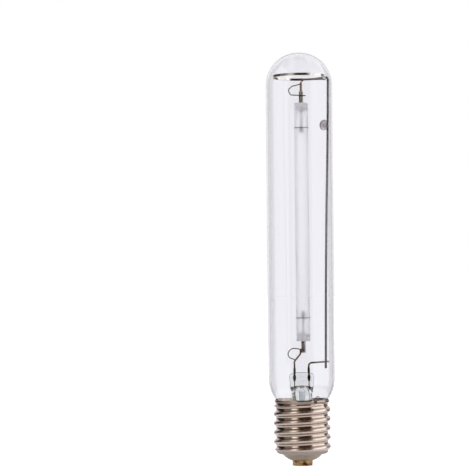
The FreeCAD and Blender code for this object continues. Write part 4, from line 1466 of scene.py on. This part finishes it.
    def insulator(self) -> Skin:
        """Glass insulator: rounded bowl below, collar round the contact, and the seat inside.

        The bowl is an arc through its two ends. Its centre lies on the line square to the chord
        through the chord's middle, at sqrt(radius squared - half the chord squared) from it.

        Returns:
            The skin, a looped lathe.
        """
        start, end = np.array(self.bowl)
        chord = end - start
        length = math.hypot(*chord)
        square = np.array([-chord[1], chord[0]]) / length
        centre = (start + end) / 2 + square * math.sqrt(self.bowl_radius ** 2 - length ** 2 / 4)
        low, high = (math.degrees(math.atan2(*(at - centre)[::-1])) for at in (start, end))
        bowl = arc(*centre, self.bowl_radius, low, high, 20)
        seat = rounded([*self.bowl_seat, start], 0.2, 4)[:-1]
        wall = self.turn_in(self.sheet, 8)
        inner, floor, hole = self.root - self.sheet, self.bowl_floor, self.hole
        socket, ceiling = self.socket, self.socket_top
        hollow = [
            (inner, floor), (hole, floor), (hole, ceiling), (socket, ceiling), (socket, 3.9),
            (7.0, 3.9),
        ]
        return lathe(np.concatenate([seat, bowl, self.lip, wall, hollow]), 128)

    def contact(self) -> Skin:
        """Brass button with a dimple, a rounded edge and a slightly spread, uneven foot.

        Near the foot's edge the radius changes by a sum of three sines of the direction.

        Returns:
            The skin, a lathe with its foot made uneven.
        """
        hub, top = self.hole, self.socket_top
        section = [(hub, top), *self.button, (self.socket, top), (hub, top)]
        skin = lathe(rounded(section, self.button_bends, 6)[:-1], 96)
        x, y, z = skin.points.T
        angle, radius = np.arctan2(y, x), np.hypot(x, y)
        waves = ((0.06, 5, 0.6), (0.05, 9, 2.0), (0.03, 17, 0.0))
        uneven = sum(size * np.sin(count * angle + shift) for size, count, shift in waves)
        share = fades(radius, 5.5, 6.8) * fades(z, -0.1, 0.8)
        skin.points[:, :2] *= (1 + (uneven - 0.1) * share / np.maximum(radius, 1.0))[:, None]
        return skin

    def solder_drop(self) -> Skin:
        """Solder on the rim: an ellipsoid whose radius swells.

        With a the direction, b the lean and s the seed, it swells by
        0.08 sin(3 a + s) cos b + 0.06 sin(4 b + 2 s) cos(2 a) cos b.

        Returns:
            The skin, closed by two poles.
        """
        radius, azimuth, up = self.drop_place
        centre, seed = polar(radius, math.radians(azimuth), up), self.drop_seed
        lean = np.radians(np.linspace(-90.0, 90.0, 26))[1:-1, None]
        angle = around(36)
        sides = 0.08 * np.sin(3 * angle + seed)
        lobes = 0.06 * np.sin(4 * lean + 2 * seed) * np.cos(2 * angle)
        swell = 1 + (sides + lobes) * np.cos(lean)
        rows = polar(swell * np.cos(lean), angle, swell * np.sin(lean)) * self.drop_size + centre
        tip = [0.0, 0.0, self.drop_size[2]]
        return grid_skin(rows, centre - tip, centre + tip)

    def side_wire(self) -> Skin:
        """Thin wire from the stem, up by the neck, over the rim and down to its solder.

        Its corners are given as distance from the axis, direction and height.

        Returns:
            The skin of the wire.
        """
        radius, azimuth, up = np.array(self.rim_wire).T
        path = rounded(polar(radius, np.radians(azimuth), up), self.rim_wire_bend, 8)
        return sweep(path, self.rim_wire_radius, 12, 0.2)

    def build(self) -> None:
        """Shell, insulator, contact, solder and wires, and what the shell hides."""
        lead = sweep(rounded(self.lead, self.lead_bend), self.lead_radius)
        sleeve = lathe(rounded(self.sleeve, self.sleeve_edge, 3), 24).moved(-Stem.lead_x)
        cement = lathe(rounded(self.cement, self.cement_edge, 3), 96)
        pieces = (
            ("screw_shell", self.shell(), PLATE, "cap_shell"),
            ("insulator_bowl", self.insulator(), VITRITE, "cap_insulator"),
            ("contact_button", self.contact(), BRASS, "centre_contact"),
            ("contact_fill", lathe(np.array(self.fill), 40), SOLDER, "contact_solder"),
            ("rim_wire", self.side_wire(), COPPER, "side_lead_wire"),
            ("rim_solder", self.solder_drop(), SOLDER, "side_solder"),
            ("cement_ring", cement, CEMENT, "basing_cement"),
            ("centre_lead", lead, COPPER, "centre_lead_wire"),
            ("fibre_sleeve", sleeve, SLEEVE, "lead_sleeve"),
        )
        for piece in pieces:
            add_piece(*piece)


# The stage, sizes in metres.


@dataclass(frozen=True)
class Strip:
    """Upright strip of the surroundings, its angles in degrees, with its colour by height."""

    centre: float
    half: float
    soft: float
    colour: Colour
    upper: Colour | None = None

    def over(self, tree: Tree, azimuth: Value, high: Value, under: Socket | Colour) -> Socket:
        """The surroundings with this strip painted over them.

        Args:
            tree: where the nodes go.
            azimuth: angle of the direction, in radians.
            high: 0 for low directions and 1 for high ones.
            under: what is there already.

        Returns:
            The colour.
        """
        angles = (self.centre, self.half, self.soft)
        share = azimuth.band(*(math.radians(angle) for angle in angles))
        paint = self.colour if self.upper is None else tree.mix(high, self.colour, self.upper)
        return tree.mix(share, under, paint)


@dataclass
class Studio:
    """White floor, soft light all round and the camera of the photograph."""

    picture: int = 470
    sensor: float = 36.0
    focal: float = 2051.0
    camera_place: Point = (-0.0455, -1.417, 0.1198)
    tilt: float = 1.59
    roll: float = 0.52
    key_place: Point = (-0.9, -1.0, 0.9)
    key_size: float = 0.6
    key_power: float = 2.0
    target: Point = (0.0, 0.0, 0.14)
    board: Corners = ((-0.22, -0.12, 0), (0.16, -0.12, 0), (9, 40, 0), (-9, 40, 0))
    white: Colour = (1.0, 1.0, 1.0)
    room: Colour = tint("8A8078")
    strips: Sequence[Strip] = (
        Strip(10.0, 25.0, 7.0, tint("402A16")),
        Strip(-112.0, 18.0, 9.0, tint("16161F")),
        Strip(-37.0, 9.0, 8.0, tint("D2CAC2")),
        Strip(80.0, 34.0, 10.0, (1.52, 1.55, 1.6), (0.86, 0.83, 0.8)),
        Strip(117.0, 4.0, 5.0, tint("3A322E")),
    )
    high: tuple[float, float] = (0.45, 0.8)
    rear: Colour = tint("F3F2F7")
    rear_turn: tuple[float, float] = (136.0, 154.0)
    rear_depth: tuple[float, float] = (0.8, 0.97)
    rear_spread: float = 0.4
    through: tuple[Colour, Colour] = (tint("F0EFF3"), tint("F4F3F8"))
    through_depth: tuple[float, float] = (0.66, 0.92)
    through_spread: float = 0.6

    def camera(self) -> None:
        """Camera with a long lens, tilted up and rolled a little."""
        data = bpy.data.cameras.new("camera")
        data.sensor_width = self.sensor
        data.lens = self.focal / self.picture * self.sensor
        data.clip_start, data.clip_end = 0.01, 100.0
        shot = bpy.data.objects.new("camera", data)
        shot.rotation_euler = (math.radians(90.0 + self.tilt), math.radians(self.roll), 0.0)
        shot.location = self.camera_place
        bpy.context.scene.collection.objects.link(shot)
        bpy.context.scene.camera = shot

    def sky(self) -> None:
        """Surroundings: white where the camera looks, strips in what the lamp mirrors.

        A strip is chosen by the angle 2 atan(x / (1 - y)), twice the turn of a mirror that shows
        that direction to the camera, whether the mirror leans or not. Straight behind the lamp
        all is white. What is seen through the glass is nearly white all round.
        """
        world = bpy.data.worlds.new("studio")
        bpy.context.scene.world = world
        world.use_nodes = True
        tree = Tree(world.node_tree)
        x, y, z = tree.parts(tree.add("ShaderNodeTexCoord").out("Generated"))
        azimuth = x.turned_from(1.0 - y) * 2.0
        high = z.between(*self.high)
        room: Socket | Colour = self.room
        for strip in self.strips:
            room = strip.over(tree, azimuth, high, room)
        behind = abs(azimuth).between(*(math.radians(turn) for turn in self.rear_turn))
        rear = behind.larger((y + abs(z) * self.rear_spread).between(*self.rear_depth))
        deep = (y + abs(z) * self.through_spread).between(*self.through_depth)
        passed = tree.mix(deep, *self.through)
        colour = tree.mix(tree.mirrored(), passed, tree.mix(rear, room, self.rear))
        shone = tree.add("ShaderNodeBackground", None, {"Color": colour}).out()
        plain = tree.add("ShaderNodeBackground", None, {"Color": self.white}).out()
        seen = tree.blend(tree.ray("Is Camera Ray"), shone, plain)
        tree.add("ShaderNodeOutputWorld", None, {"Surface": seen})

    def key_light(self) -> None:
        """Square soft light that looks at the lamp's middle."""
        data = bpy.data.lights.new("key_light", "AREA")
        data.shape = "SQUARE"
        data.size = self.key_size
        data.energy = self.key_power
        light = bpy.data.objects.new("key_light", data)
        light.location = self.key_place
        x, y, z = np.array(self.target) - np.array(self.key_place)
        light.rotation_euler = (math.pi / 2 + math.atan2(z, math.hypot(x, y)), 0, -math.atan2(x, y))
        bpy.context.scene.collection.objects.link(light)

    def floor(self) -> None:
        """Wide pale table top, faintly mottled."""
        mesh = bpy.data.meshes.new("floor")
        mesh.from_pydata(self.board, [], [[0, 1, 2, 3]])
        mesh.materials.append(Board("table_top").material())
        top = bpy.data.objects.new("floor", mesh)
        bpy.context.scene.collection.objects.link(top)

    def build(self) -> None:
        """Camera, surroundings, floor and light."""
        bpy.context.scene.view_settings.view_transform = "Standard"
        bpy.context.scene.view_settings.look = "None"
        self.camera()
        self.sky()
        self.floor()
        self.key_light()


def main() -> None:
    """Build the lamp piece by piece and set the stage."""
    logging.basicConfig(level=logging.INFO, format="%(message)s")
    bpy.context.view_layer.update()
    for assembly in (Bulb(), Stem(), Mount(), ArcTube(), ScrewCap(), Studio()):
        assembly.build()


if __name__ == "__main__":
    main()
